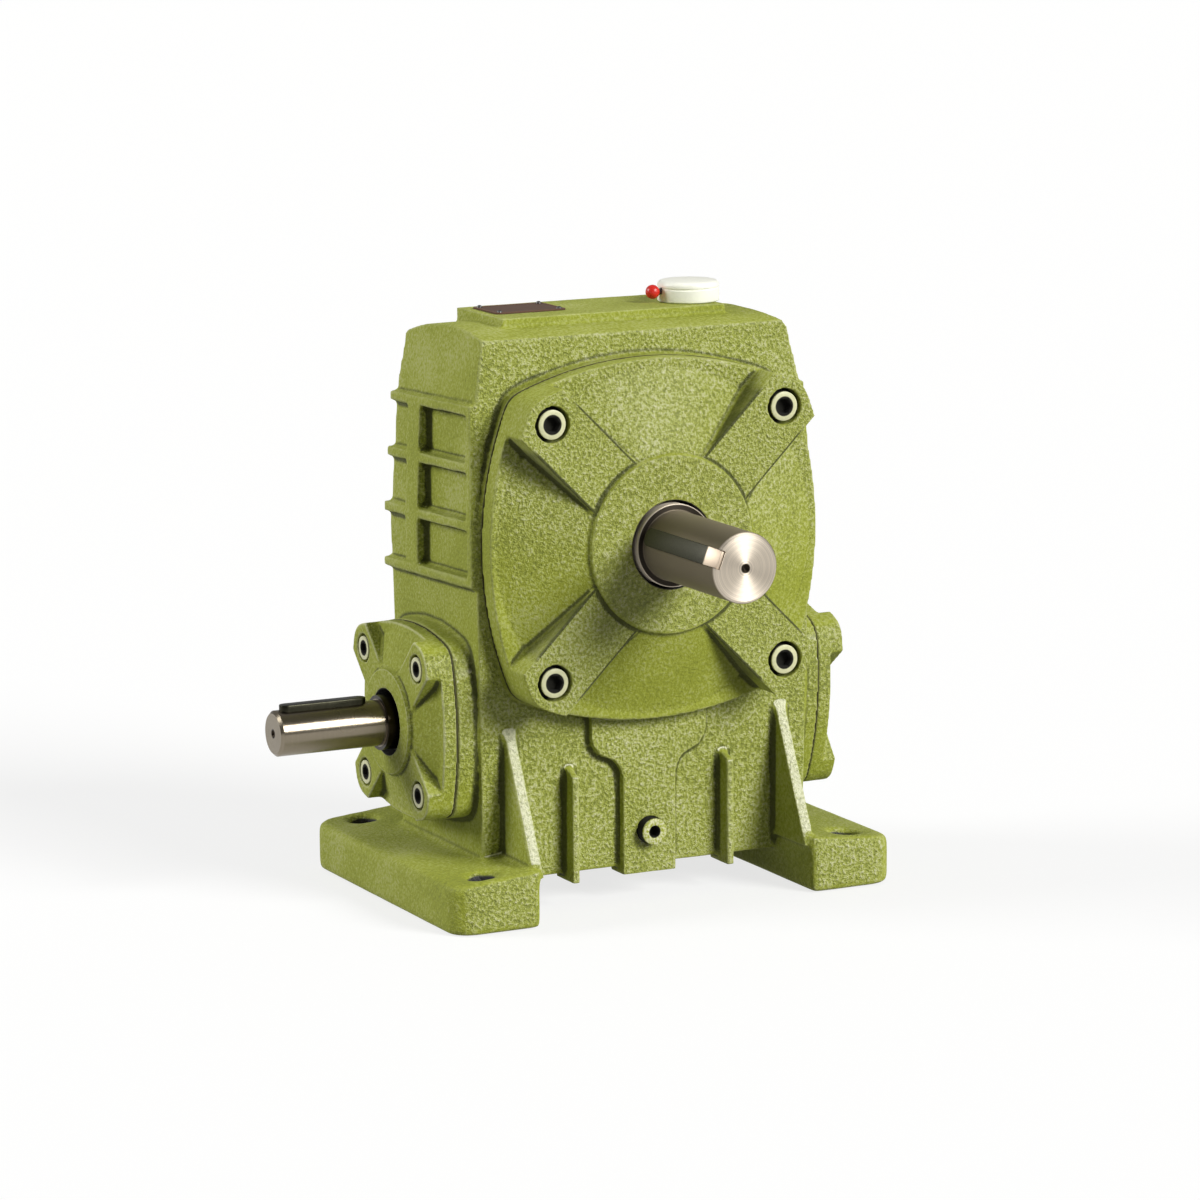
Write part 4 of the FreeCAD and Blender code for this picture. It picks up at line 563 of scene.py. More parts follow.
def arc(centre, radius, start, end, steps):
    """Points of an arc in a turned profile, angles in degrees from the outward direction."""
    points = []
    for step in range(steps + 1):
        turn = math.radians(start + (end - start) * step / steps)
        points.append((centre[0] + radius * math.cos(turn), centre[1] + radius * math.sin(turn)))
    return points


def square(axis, height, offset, turn=0.0):
    """Four spots on a square round a level axis, the square turned about it."""
    spots = []
    for across in (-offset, offset):
        for up in (-offset, offset):
            level = across * math.cos(turn) - up * math.sin(turn)
            rise = across * math.sin(turn) + up * math.cos(turn) + height
            spots.append((0.0, level, rise) if axis == "X" else (level, 0.0, rise))
    return spots


def dress(nodes, finish):
    """Give CAD nodes that keep their own shape a finish."""
    for node in nodes:
        for holder in frame["nodes"][node].material_slots:
            holder.material = finish


# Limits of the paint's masks, from where each starts to where it is full

# Dimples and painted sheen: full dimples and pale crowns on faces turned to the front, rear and up,
# shallower elsewhere
DIMPLES_AND_SHEEN_FACING = 0.84, 0.93
DIMPLES_AND_SHEEN_FRONT = 0.95
DIMPLES_AND_SHEEN_TOP = 0.3
PAD_FADE = 0.002
RIM_FADE = -0.003, -0.001
RIM_LOWER = 0.03, -0.03
GRAIN_SIZE = 0.42
GRAIN_DEPTH = 0.35
MEAN_HEIGHT = 0.5 + GRAIN_DEPTH * 0.5
DRIFT_SIZE = 26
DRIFT_LIGHT = 0.05
PIT_LIGHT = 0.52, 0.7
CROWN_LIGHT = 0.66, 1.0
RAGGED = 0.035
# Pale edges on sharp convex edges: a painted highlight, partly thin paint
EDGE_RELIEF = 0.22, 0.6
# Painted shade in creases: its strength, and how much less of it lies on level faces, the roof and
# faces turned to the right
CREASE_SHADE_SHARE = 0.8
LEVEL_FACING = 0.3, 0.7
LEVEL_SHADE = 0.2
ROOF_FADE = 0.004
ROOF_SHADE = 0.15
RIGHT_FACING = 0.1, 0.45
RIGHT_SHADE = 0.3
# Painted highlight, partly thin worn paint, on the steep front edges of the gussets that face front
# and up
GUSSET_FRONT = -0.7, -0.85
GUSSET_FROM_SLOPE = 0.2, 0.28
GUSSET_TO_SLOPE = 0.5, 0.42
GUSSET_TOP = 0.136, 0.13
GUSSET_FOOT = 0.029, 0.032
GUSSET_HEIGHT = 0.5, 0.8
GUSSET_SHARE = 0.6, 0.95
# Lines of painted shade along the edges of the output cover's arms
ARM_LINE = 0.0009, 0.0005
ARM_LINE_INSET = 0.0008
ARM_START_FADE = 0.001
ARM_END_FADE = 0.006

# Measures of the other finishes, in metres or as shares

SCREW_GRAIN = 0.0013
SCREW_PATCHES = 0.42, 0.6
SCREW_FACE = 0.0005, 0.0011
SCREW_ROUGHNESS = 0.38
SCREW_BUMP = 0.00012, 0.5
TURNED_DULL = 0.74
TURNED_BUMP = 0.00001, 0.03
SMEAR_SIZE = 0.03
GROUND_METALLIC = 0.8
GROUND_SHARE = 0.85
SCATTER_DULL = 0.7
SCATTER_SPOTS = 0.32, 0.68
SCATTER_STRETCH = 1.0, 1.0, 0.25
SCATTER_BUMP = 0.00003, 0.4
KEY_GRAIN = 0.0009
METAL_CLOUDS = 14
MOULDED_CLOUDS = 18
MOULDED_PATCHES = 0.7, 1.3
PLATE_DULL = 0.88
PLATE_RIM = 1.5
PLATE_STREAKS = 0.0006
PLATE_STRETCH = 0.05, 1.0, 1.0
PLATE_BUMP = 0.00002, 0.4


# Finishes

def hammered_paint(
    name, paint, holes=(), gussets=False, arms=False, edge_wear_and_highlight=0.14, crease_at=(-0.12, -0.33)
):
    """Green hammered enamel: fine dimples, pale edges as a painted highlight and painted shade in
    inner corners.

    holes are (axis, spots, radius) of the bores and counterbores, dark inside as painted shade and
    bare oily metal. gussets paints a highlight, partly thin worn paint, on the steep front edges of
    the gussets, and arms paints lines of shade along the edges of the output cover's arms.
    edge_wear_and_highlight is the share of the edge colour on sharp edges, a painted highlight
    partly from thin paint, and crease_at the relief at which painted shade in a corner starts and
    is full."""
    finish = Finish(name)
    place = finish.place()
    at = finish.apart(place)
    facing = finish.apart(finish.node("ShaderNodeNewGeometry").outputs["Normal"])
    dimples = finish.noise(place, paint.dimple_size, 2.5, 0.55)
    grain = finish.noise(place, paint.dimple_size * GRAIN_SIZE)
    drift = finish.noise(place, paint.dimple_size * DRIFT_SIZE, 3.0)
    dimples_and_sheen = dimples_and_sheen_share(finish, paint, facing, at, arms)
    height = finish.plus(dimples, finish.times(grain, GRAIN_DEPTH))
    height = finish.times(finish.minus(height, MEAN_HEIGHT), dimples_and_sheen)
    height = finish.plus(height, MEAN_HEIGHT)
    light = finish.plus(height, finish.swing(drift, -DRIFT_LIGHT, DRIFT_LIGHT))
    # Pale crowns, full on front, rear and upward faces, partly paint tone and partly a painted
    # sheen
    shade = finish.mix(finish.span(light, *PIT_LIGHT), paint.pits, paint.body)
    shade = finish.mix(finish.span(light, *CROWN_LIGHT), shade, paint.crowns)
    relief = finish.node("ShaderNodeAttribute", attribute_name=RELIEF).outputs["Fac"]
    ragged = finish.plus(relief, finish.swing(grain, -RAGGED, RAGGED))
    # Pale edges: a painted highlight, partly thin paint
    shade = finish.mix(finish.span(ragged, *EDGE_RELIEF, 0.0, edge_wear_and_highlight), shade, paint.edges)
    # Painted shade in creases and inner corners, and in lines along the cover's arms
    crease = finish.span(ragged, *crease_at)
    crease_shade = crease_shade_share(finish, facing, at, crease, gussets, arms)
    shade = finish.mix(finish.times(crease_shade, CREASE_SHADE_SHARE), shade, paint.corners)
    # Painted highlight on the gussets' front edges, partly thin worn paint
    if gussets:
        shade = finish.mix(gusset_highlight_and_wear(finish, facing, at, height), shade, paint.edges)
    # Painted shade inside bores, counterbores and foot holes, partly bare oily metal
    for axis, spots, radius in holes:
        shade = finish.mix(finish.hollow(axis, spots, radius), shade, paint.socket)
    rough = finish.span(dimples_and_sheen, paint.drawn_skin, 1.0, paint.drawn_roughness, paint.roughness)
    finish.set(
        Base_Color=shade,
        Roughness=finish.span(crease_shade, 0.0, 1.0, rough, 1.0),
        Specular_IOR_Level=0.9,
        Coat_Weight=paint.gloss,
        Coat_Roughness=0.18,
        Normal=finish.bump(height, paint.dimple_depth),
    )
    return finish.material


def dimples_and_sheen_share(finish, paint, facing, at, arms):
    """How deep the dimples are, and with them the painted sheen of the pale crowns: full on front
    and rear faces and more on upward ones, less on those along the draw.

    The roof's pad is smooth too, and so is the lower rim of the cover with the arms."""
    front = finish.times(finish.unsigned(facing["Y"]), DIMPLES_AND_SHEEN_FRONT)
    across = finish.plus(front, finish.times(facing["Z"], DIMPLES_AND_SHEEN_TOP))
    below_pad = finish.span(at["Z"], PAD_FOOT, PAD_FOOT + PAD_FADE, 1.0, 0.0)
    dimples_and_sheen = finish.times(finish.span(across, *DIMPLES_AND_SHEEN_FACING), below_pad)
    if arms:
        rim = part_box("output_cover")[0].y + COVER_RELIEF
        behind = finish.span(at["Y"], *(rim + fade for fade in RIM_FADE))
        under = finish.span(at["Z"], *(OUTPUT_HEIGHT + rise for rise in RIM_LOWER))
        dimples_and_sheen = finish.times(dimples_and_sheen, finish.minus(1.0, finish.times(behind, under)))
    return finish.span(dimples_and_sheen, 0.0, 1.0, paint.drawn_skin, 1.0)


def crease_shade_share(finish, facing, at, crease, gussets, arms):
    """Share of painted shade in the creases: less on level faces, on the roof and, with gussets, on
    faces turned to the right, where more light falls.
    """
    level = finish.span(facing["Z"], *LEVEL_FACING, 1.0, LEVEL_SHADE)
    roof = finish.span(at["Z"], ROOF_HEIGHT, ROOF_HEIGHT + ROOF_FADE, 1.0, ROOF_SHADE)
    crease_shade = finish.times(crease, level, roof)
    if gussets:
        crease_shade = finish.times(crease_shade, finish.span(facing["X"], *RIGHT_FACING, 1.0, RIGHT_SHADE))
    if arms:
        crease_shade = finish.most(crease_shade, arm_shade_lines(finish, at))
    return crease_shade


def gusset_highlight_and_wear(finish, facing, at, height):
    """Painted highlight, partly thin worn paint, on the steep front edges of the gussets that face
    front and up, most on the paint's crowns.
    """
    return finish.times(
        finish.span(facing["Y"], *GUSSET_FRONT),
        finish.span(facing["Z"], *GUSSET_FROM_SLOPE),
        finish.span(facing["Z"], *GUSSET_TO_SLOPE),
        finish.span(at["Z"], *GUSSET_TOP),
        finish.span(at["Z"], *GUSSET_FOOT),
        finish.span(height, *GUSSET_HEIGHT, *GUSSET_SHARE),
    )


def arm_shade_lines(finish, at):
    """One along the edges of the four slanting arms round the output axis, for lines of painted
    shade.
    """
    up = finish.unsigned(finish.minus(at["Z"], OUTPUT_HEIGHT))
    aside = finish.times(finish.minus(finish.unsigned(at["X"]), up), math.sqrt(0.5))
    aside = finish.minus(finish.unsigned(aside), COVER_ARM_WIDTH / 2 - ARM_LINE_INSET)
    radius = finish.reach("Y", OUTPUT_HEIGHT)[1]
    start, end = COVER_ARM_REACH
    return finish.times(
        finish.span(finish.unsigned(aside), *ARM_LINE),
        finish.span(radius, start, start + ARM_START_FADE),
        finish.span(radius, end, end - ARM_END_FADE),
    )


def painted_steel(name, paint, shades, axis, face, inward, sockets, radius):
    """Painted screw heads, between a low and a high shade, that are dark behind their faces as
    painted shade.

    face is where the heads end along the axis, and inward the sign of the way into the screw.
    sockets are the middles of the sockets, with a dark colour round them out to a radius, partly
    oil and partly painted shade."""
    finish = Finish(name)
    place = finish.place()
    depth = finish.times(finish.minus(finish.apart(place)[axis], face), inward)
    grain = finish.noise(place, SCREW_GRAIN, 3.0)
    thin = finish.mix(finish.span(grain, *SCREW_PATCHES), *shades)
    # Painted shade, partly oil, in the sockets and behind the heads' faces
    sunk = finish.most(finish.span(depth, *SCREW_FACE), finish.hollow(axis, sockets, radius))
    finish.set(
        Base_Color=finish.mix(sunk, thin, paint.socket),
        Roughness=finish.span(sunk, 0.0, 1.0, SCREW_ROUGHNESS, 1.0),
        Normal=finish.bump(grain, *SCREW_BUMP),
    )
    return finish.material


def turned_metal(
    name, rgb, pitch, axis, height, roughness, anisotropy, stain=None, ground_from=None
):
    """Bare metal with turning marks round a level axis, and sheen across the marks.

    stain gives the shares of other colours, from the finish, the place along the axis and the
    radius. ground_from is the place along the axis behind which the metal is ground and dull."""
    finish = Finish(name)
    along, radius = finish.reach(axis, height)
    marks = finish.lines(finish.plus(along, radius), pitch, 3.0)
    smears = finish.noise(finish.place(), SMEAR_SIZE)
    tint = finish.mix(finish.swing(marks), scaled(rgb, TURNED_DULL), rgb)
    if stain is not None:
        for part, over in stain(finish, along, radius):
            tint = finish.mix(part, tint, over)
    metallic = 1.0
    if ground_from is not None:
        full = ground_from + OUTPUT_FACE_FADE
        metallic = finish.span(along, ground_from, full, 1.0, GROUND_METALLIC)
    tangent = finish.node("ShaderNodeTangent", direction_type="RADIAL", axis=axis)
    finish.set(
        Base_Color=tint,
        Metallic=metallic,
        Roughness=finish.swing(smears, roughness - 0.02, roughness + 0.03),
        Anisotropic=anisotropy,
        Anisotropic_Rotation=0.25,
        Tangent=tangent.outputs["Tangent"],
        Normal=finish.bump(marks, *TURNED_BUMP),
    )
    return finish.material


def plain_metal(name, rgb, size, roughness):
    """Bare metal with fine scatter, for keys, bearings and rivets."""
    finish = Finish(name)
    place = finish.place()
    scatter = finish.noise(finish.stretched(place, SCATTER_STRETCH), size, 4.0, 0.6)
    clouds = finish.noise(place, size * METAL_CLOUDS, 3.0)
    finish.set(
        Base_Color=scattered(finish, scatter, rgb),
        Metallic=1.0,
        Roughness=finish.swing(clouds, roughness - 0.06, roughness + 0.08),
        Normal=finish.bump(scatter, *SCATTER_BUMP),
    )
    return finish.material


def scattered(finish, scatter, rgb):
    """A metal's colour, darker in spots."""
    return finish.mix(finish.span(scatter, *SCATTER_SPOTS), scaled(rgb, SCATTER_DULL), rgb)


def moulded(name, rgb, size, roughness, depth, low=0.82):
    """Plastic, rubber or paper with a fine grain, darkened to a low share in places."""
    finish = Finish(name)
    place = finish.place()
    grain = finish.noise(place, size, 3.0, 0.6)
    clouds = finish.noise(place, size * MOULDED_CLOUDS)
    patches = finish.span(finish.plus(grain, clouds), *MOULDED_PATCHES)
    finish.set(
        Base_Color=finish.mix(patches, scaled(rgb, low), rgb),
        Roughness=finish.swing(grain, roughness - 0.05, roughness + 0.05),
        Normal=finish.bump(grain, depth, 0.5),
    )
    return finish.material


# Operators for the pieces

class REDUCER_OT_castings(Operator):
    """Cover the housing, the covers and the rear cap with cast, painted skins"""

    bl_idname = "reducer.castings"
    bl_label = "Castings"

    def execute(self, context):
        cast = context.scene.reducer_castings
        paint = context.scene.reducer_paint
        sides = (-FOOT_BOLT_X, FOOT_BOLT_X)
        ends = (-FOOT_BOLT_Y, FOOT_BOLT_Y)
        feet = [(x, y, 0.0) for x in sides for y in ends]
        plain = hammered_paint(
            "green_housing_paint", paint, (("Z", feet, FOOT_HOLE),), gussets=True
        )
        cast_skin("housing", cast.housing_step, plain, cast)
        cast_skin("rear_closing_cap", cast.end_cover_step, plain, cast)
        screws = square("Y", OUTPUT_HEIGHT, COVER_SCREW_OFFSET)
        bore = ("Y", [(0.0, 0.0, OUTPUT_HEIGHT)], COVER_BORE)
        holes = (bore, ("Y", screws, COVER_COUNTERBORE))
        front = hammered_paint(
            "green_output_cover_paint", paint, holes, arms=True, edge_wear_and_highlight=0.15, crease_at=(-0.09, -0.26)
        )
        cast_skin("output_cover", cast.output_cover_step, front, cast)
        screws = square("X", WORM_HEIGHT, END_SCREW_OFFSET)
        bore = ("X", [(0.0, 0.0, WORM_HEIGHT)], END_BORE)
        holes = (bore, ("X", screws, END_COUNTERBORE))
        near = hammered_paint(
            "green_input_cover_paint", paint, holes, edge_wear_and_highlight=0.55, crease_at=(-0.1, -0.28)
        )
        cast_skin("input_cover", cast.end_cover_step, near, cast)
        screws = square("X", WORM_HEIGHT, END_SCREW_OFFSET, FAR_TURN)
        far = hammered_paint("green_blind_cover_paint", paint, (("X", screws, END_COUNTERBORE),))
        cast_skin("blind_cover", cast.end_cover_step, far, cast)
        return {"FINISHED"}


class REDUCER_OT_fasteners(Operator):
    """Break the edges of the screws and the drain plug and paint them"""

    bl_idname = "reducer.fasteners"
    bl_label = "Fasteners"

    def execute(self, context):
        paint = context.scene.reducer_paint
        pale = (paint.crowns, paint.screw_paint)
        spots = square("Y", OUTPUT_HEIGHT, COVER_SCREW_OFFSET)
        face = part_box("output_cover_screws")[0].y
        front = painted_steel(
            "cover_screw_paint", paint, pale, "Y", face, 1.0, spots, COVER_SOCKET
        )
        spots = square("X", WORM_HEIGHT, END_SCREW_OFFSET)
        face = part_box("input_cover_screws")[0].x
        left = painted_steel("input_screw_paint", paint, pale, "X", face, 1.0, spots, END_SOCKET)
        spots = square("X", WORM_HEIGHT, END_SCREW_OFFSET, FAR_TURN)
        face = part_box("blind_cover_screws")[1].x
        right = painted_steel("blind_screw_paint", paint, pale, "X", face, -1.0, spots, END_SOCKET)
        low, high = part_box("drain_plug")
        spots = [(0.0, 0.0, (low.z + high.z) / 2)]
        green = (paint.body, paint.crowns)
        drain = painted_steel(
            "drain_plug_paint", paint, green, "Y", low.y, 1.0, spots, DRAIN_SOCKET
        )
        chamfered("output_cover_screws", SCREW_CHAMFER, front)
        chamfered("input_cover_screws", SCREW_CHAMFER, left)
        chamfered("blind_cover_screws", SCREW_CHAMFER, right)
        chamfered("drain_plug", SCREW_CHAMFER, drain)
        return {"FINISHED"}


class REDUCER_OT_shafts(Operator):
    """Give the two shafts, their keys and the spacer turned and ground steel"""

    bl_idname = "reducer.shafts"
    bl_label = "Shafts and keys"

    def execute(self, context):
        metal = context.scene.reducer_metal
        pitch = metal.turning_pitch
        output = turned_metal(
            "output_shaft_steel", metal.steel, pitch, "Y", OUTPUT_HEIGHT,
            roughness=0.5, anisotropy=0.75,
            stain=lambda *at: self.output_stain(metal, *at), ground_from=OUTPUT_FACE,
        )
        worm = turned_metal(
            "worm_shaft_steel", metal.steel, pitch, "X", WORM_HEIGHT,
            roughness=0.26, anisotropy=0.6,
            stain=lambda *at: self.input_stain(metal, *at),
        )
        # Keys: dark colour that is partly a painted dark reflection
        keys = plain_metal("key_steel", metal.key, KEY_GRAIN, 0.34)
        dress(("output_shaft", "spacer_sleeve"), output)
        dress(("worm_shaft",), worm)
        dress(("wheel_key",), keys)
        chamfered("output_key", KEY_CHAMFER, self.key_finish(metal))
        chamfered("input_key", KEY_CHAMFER, keys)
        return {"FINISHED"}

    def key_finish(self, metal):
        """Dull key with a painted highlight on the slope at its front end."""
        finish = Finish("output_key_steel")
        place = finish.place()
        scatter = finish.noise(place, KEY_GRAIN, 3.0)
        # Painted highlight on the key's front slope, set by the place along Y
        cut = finish.span(finish.apart(place)["Y"], *OUTPUT_KEY_SLOPE)
        finish.set(
            Base_Color=finish.mix(cut, scattered(finish, scatter, metal.key), metal.key_slope_highlight),
            Metallic=finish.span(cut, 0.0, 1.0, 0.7, 0.6),
            Roughness=finish.span(cut, 0.0, 1.0, 0.5, 0.45),
            Normal=finish.bump(scatter, *SCATTER_BUMP),
        )
        return finish.material

    def output_stain(self, metal, finish, along, radius):
        """Ground flank, darker partly as painted shade, painted shade in the centre hole, and on
        the shoulder inside its bright rim.
        """
        inside_rim = finish.span(radius, *OUTPUT_RIM, 1.0, 0.0)
        shoulder = finish.times(finish.span(radius, *OUTPUT_SHOULDER), inside_rim)
        dark = finish.most(finish.span(radius, *CENTRE_HOLE), shoulder)
        # Ground flank, darker partly as painted shade and dark reflection
        flank = finish.span(along, OUTPUT_FACE, OUTPUT_FACE + OUTPUT_FACE_FADE)
        return (finish.times(flank, inside_rim), metal.ground), (dark, metal.oiled)

    def input_stain(self, metal, finish, along, radius):
        """Ground steel in front of the cover, darker partly as painted shade, painted shade in the
        centre hole and on the journal, partly oil.
        """
        outside = finish.span(along, *WORM_OUTSIDE)
        journal = finish.times(finish.span(radius, *WORM_JOURNAL), outside)
        dark = finish.most(finish.span(radius, *CENTRE_HOLE), journal)
        return (finish.times(outside, GROUND_SHARE), metal.ground), (dark, metal.oiled)


class REDUCER_OT_gear_and_bearings(Operator):
    """Give the worm wheel and the four bearings their metals"""

    bl_idname = "reducer.gear_and_bearings"
    bl_label = "Wheel and bearings"

    def execute(self, context):
        metal = context.scene.reducer_metal
        bronze = turned_metal(
            "wheel_bronze", metal.bronze, 0.0009, "Y", OUTPUT_HEIGHT, roughness=0.32, anisotropy=0.3
        )
        iron = turned_metal(
            "hub_iron", metal.iron, 0.0012, "Y", OUTPUT_HEIGHT, roughness=0.42, anisotropy=0.2
        )
        races = plain_metal("race_steel", metal.bearing, 0.0008, 0.2)
        cages = plain_metal("cage_sheet", metal.cage, 0.0014, 0.34)
        dress(("worm_wheel_rim",), bronze)
        dress(("worm_wheel_hub",), iron)
        for bearing in ("worm_input", "worm_far", "output_front", "output_rear"):
            dress([f"{bearing}_bearing_{ring}" for ring in ("cup", "cone", "rollers")], races)
            dress([f"{bearing}_bearing_cage"], cages)
        return {"FINISHED"}


class REDUCER_OT_seals_and_gaskets(Operator):
    """Give the shaft seals rubber, and the gasket and shims oiled paper"""

    bl_idname = "reducer.seals_and_gaskets"
    bl_label = "Seals and gaskets"

    def execute(self, context):
        trim = context.scene.reducer_trim
        rubber = moulded("seal_rubber", trim.rubber, 0.0012, 0.5, 0.00005)
        paper = moulded("oiled_paper", trim.paper, 0.0008, 0.75, 0.00006, 0.6)
        dress(("output_seal", "input_seal"), rubber)
        dress(("output_cover_gasket", "input_cover_shim", "blind_cover_shim"), paper)
        return {"FINISHED"}


class REDUCER_OT_breather(Operator):
    """Turn the breather cap and its vent plug"""

    bl_idname = "reducer.breather"
    bl_label = "Breather"

    def execute(self, context):
        trim = context.scene.reducer_trim
        self.make_cap(trim)
        self.make_vent(trim)
        return {"FINISHED"}

    def make_cap(self, trim):
        """A cap on a stem, with a thin groove round its side and a gently domed top."""
        low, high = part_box("breather_cap")
        middle = (low + high) / 2
        radius = (high.x - low.x) / 2
        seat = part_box("housing")[1].z
        stem = radius * 0.46
        round_top = 0.0026
        round_foot = 0.0009
        dome = 0.0006
        groove = radius - 0.0005
        top_edge = high.z - round_top - dome
        profile = [(0.0, low.z), (stem, low.z), (stem, seat)]
        profile += arc((radius - round_foot, seat + round_foot), round_foot, -90, 0, 4)
        profile += [(radius, high.z - 0.0052), (groove, high.z - 0.0048)]
        profile += [(groove, high.z - 0.0042), (radius, high.z - 0.0038)]
        profile += arc((radius - round_top, top_edge), round_top, 0, 84, 8)
        profile += [(radius * 0.5, high.z - 0.0002), (0.0, high.z)]
        place = Matrix.Translation((middle.x, middle.y, 0.0))
        mesh = turned_mesh("breather_cap_part", profile, 72, place)
        piece = new_piece("breather_cap_part", mesh)
        plastic = moulded("white_cap_plastic", trim.cap, 0.0016, 0.34, 0.00004, 0.93)
        stand_for(piece, "breather_cap", plastic)
        mesh.set_sharp_from_angle(angle=math.radians(45))

    def make_vent(self, trim):
        """A red ball on a dark stem that runs into the cap."""
        low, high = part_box("breather_plug")
        middle = (low + high) / 2
        ball = (high.z - low.z) / 2
        stem = ball * 0.46
        centre = low.x + ball
        meets = math.degrees(math.asin(stem / ball))
        profile = arc((0.0, 0.0), ball, -90, 90 - meets, 22)
        profile[0] = (0.0, -ball)
        edge = centre + profile[-1][1]
        profile += [(stem, ball * 1.05), (stem, high.x - centre), (0.0, high.x - centre)]
        level = Matrix.Rotation(math.pi / 2, 4, "Y")
        place = Matrix.Translation((centre, middle.y, middle.z)) @ level
        mesh = turned_mesh("breather_plug_part", profile, 40, place)
        piece = new_piece("breather_plug_part", mesh)
        red = moulded("red_vent_plastic", trim.vent, 0.0011, 0.32, 0.00004, 0.86)
        dark = moulded("dark_stem_plastic", trim.stem, 0.0011, 0.4, 0.00004, 0.86)
        stand_for(piece, "breather_plug", red)
        mesh.materials.append(dark)
        for face in mesh.polygons:
            face.material_index = int(face.center.x > edge)


class REDUCER_OT_nameplate(Operator):
    """Press the unpainted nameplate with its raised rim"""

    bl_idname = "reducer.nameplate"
    bl_label = "Nameplate"

    def execute(self, context):
        metal = context.scene.reducer_metal
        low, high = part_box("nameplate")
        corner = 0.0024
        rim = 0.0011
        field = high.z - 0.00025
        steps = (
            (0.0, low.z),
            (0.0, high.z - 0.00015),
            (0.00018, high.z),
            (rim, high.z),
            (rim + 0.0003, field),
        )
        shape = bmesh.new()
        loops = []
        for inset, height in steps:
            points = self.outline(low, high, corner, inset, height)
            loops.append([shape.verts.new(point) for point in points])
        for lower, upper in zip(loops, loops[1:]):
            for step in range(len(lower)):
                following = (step + 1) % len(lower)
                shape.faces.new((lower[step], lower[following], upper[following], upper[step]))
        shape.faces.new(loops[-1])
        shape.faces.new(list(reversed(loops[0])))
        bmesh.ops.recalc_face_normals(shape, faces=shape.faces)
        mesh = drawn(shape, "nameplate_part")
        piece = new_piece("nameplate_part", mesh)
        stand_for(piece, "nameplate", self.face_finish(metal, field))
        mesh.set_sharp_from_angle(angle=math.radians(25))
        dress(("nameplate_rivets",), plain_metal("rivet_metal", metal.iron, 0.0008, 0.4))
        return {"FINISHED"}

    def outline(self, low, high, corner, inset, height):
        """Points round a plate with round corners, a step in from its edge."""
        points = []
        radius = corner - inset * 0.5
        centres = (
            (high.x, high.y, 1, 1),
            (low.x, high.y, -1, 1),
            (low.x, low.y, -1, -1),
            (high.x, low.y, 1, -1),
        )
        for quarter, (x, y, right, up) in enumerate(centres):
            middle = Vector((x - right * (inset + radius), y - up * (inset + radius), height))
            for step in range(7):
                turn = math.pi / 2 * (quarter + step / 6)
                points.append(middle + Vector((math.cos(turn), math.sin(turn), 0.0)) * radius)
        return points

    def face_finish(self, metal, field):
        """Dark brown field, brushed along X, inside a paler rim."""
        finish = Finish("plate_anodised")
        place = finish.place()
        streaks = finish.noise(finish.stretched(place, PLATE_STRETCH), PLATE_STREAKS, 3.0)
        raised = finish.span(finish.apart(place)["Z"], field + 0.00008, field + 0.0002)
        brushed = finish.span(streaks, 0.35, 0.65)
        tint = finish.mix(brushed, scaled(metal.plate, PLATE_DULL), metal.plate)
        finish.set(
            Base_Color=finish.mix(raised, tint, scaled(metal.plate, PLATE_RIM)),
            Metallic=0.2,
            Roughness=finish.swing(streaks, 0.45, 0.6),
            Normal=finish.bump(streaks, *PLATE_BUMP),
        )
        return finish.material


# Operator for the stage

SKY_REACH = -0.7, 0.9
LAMP_DISTANCE = 2
SENSOR_WIDTH = 36.0
CLIP = 0.1, 200.0


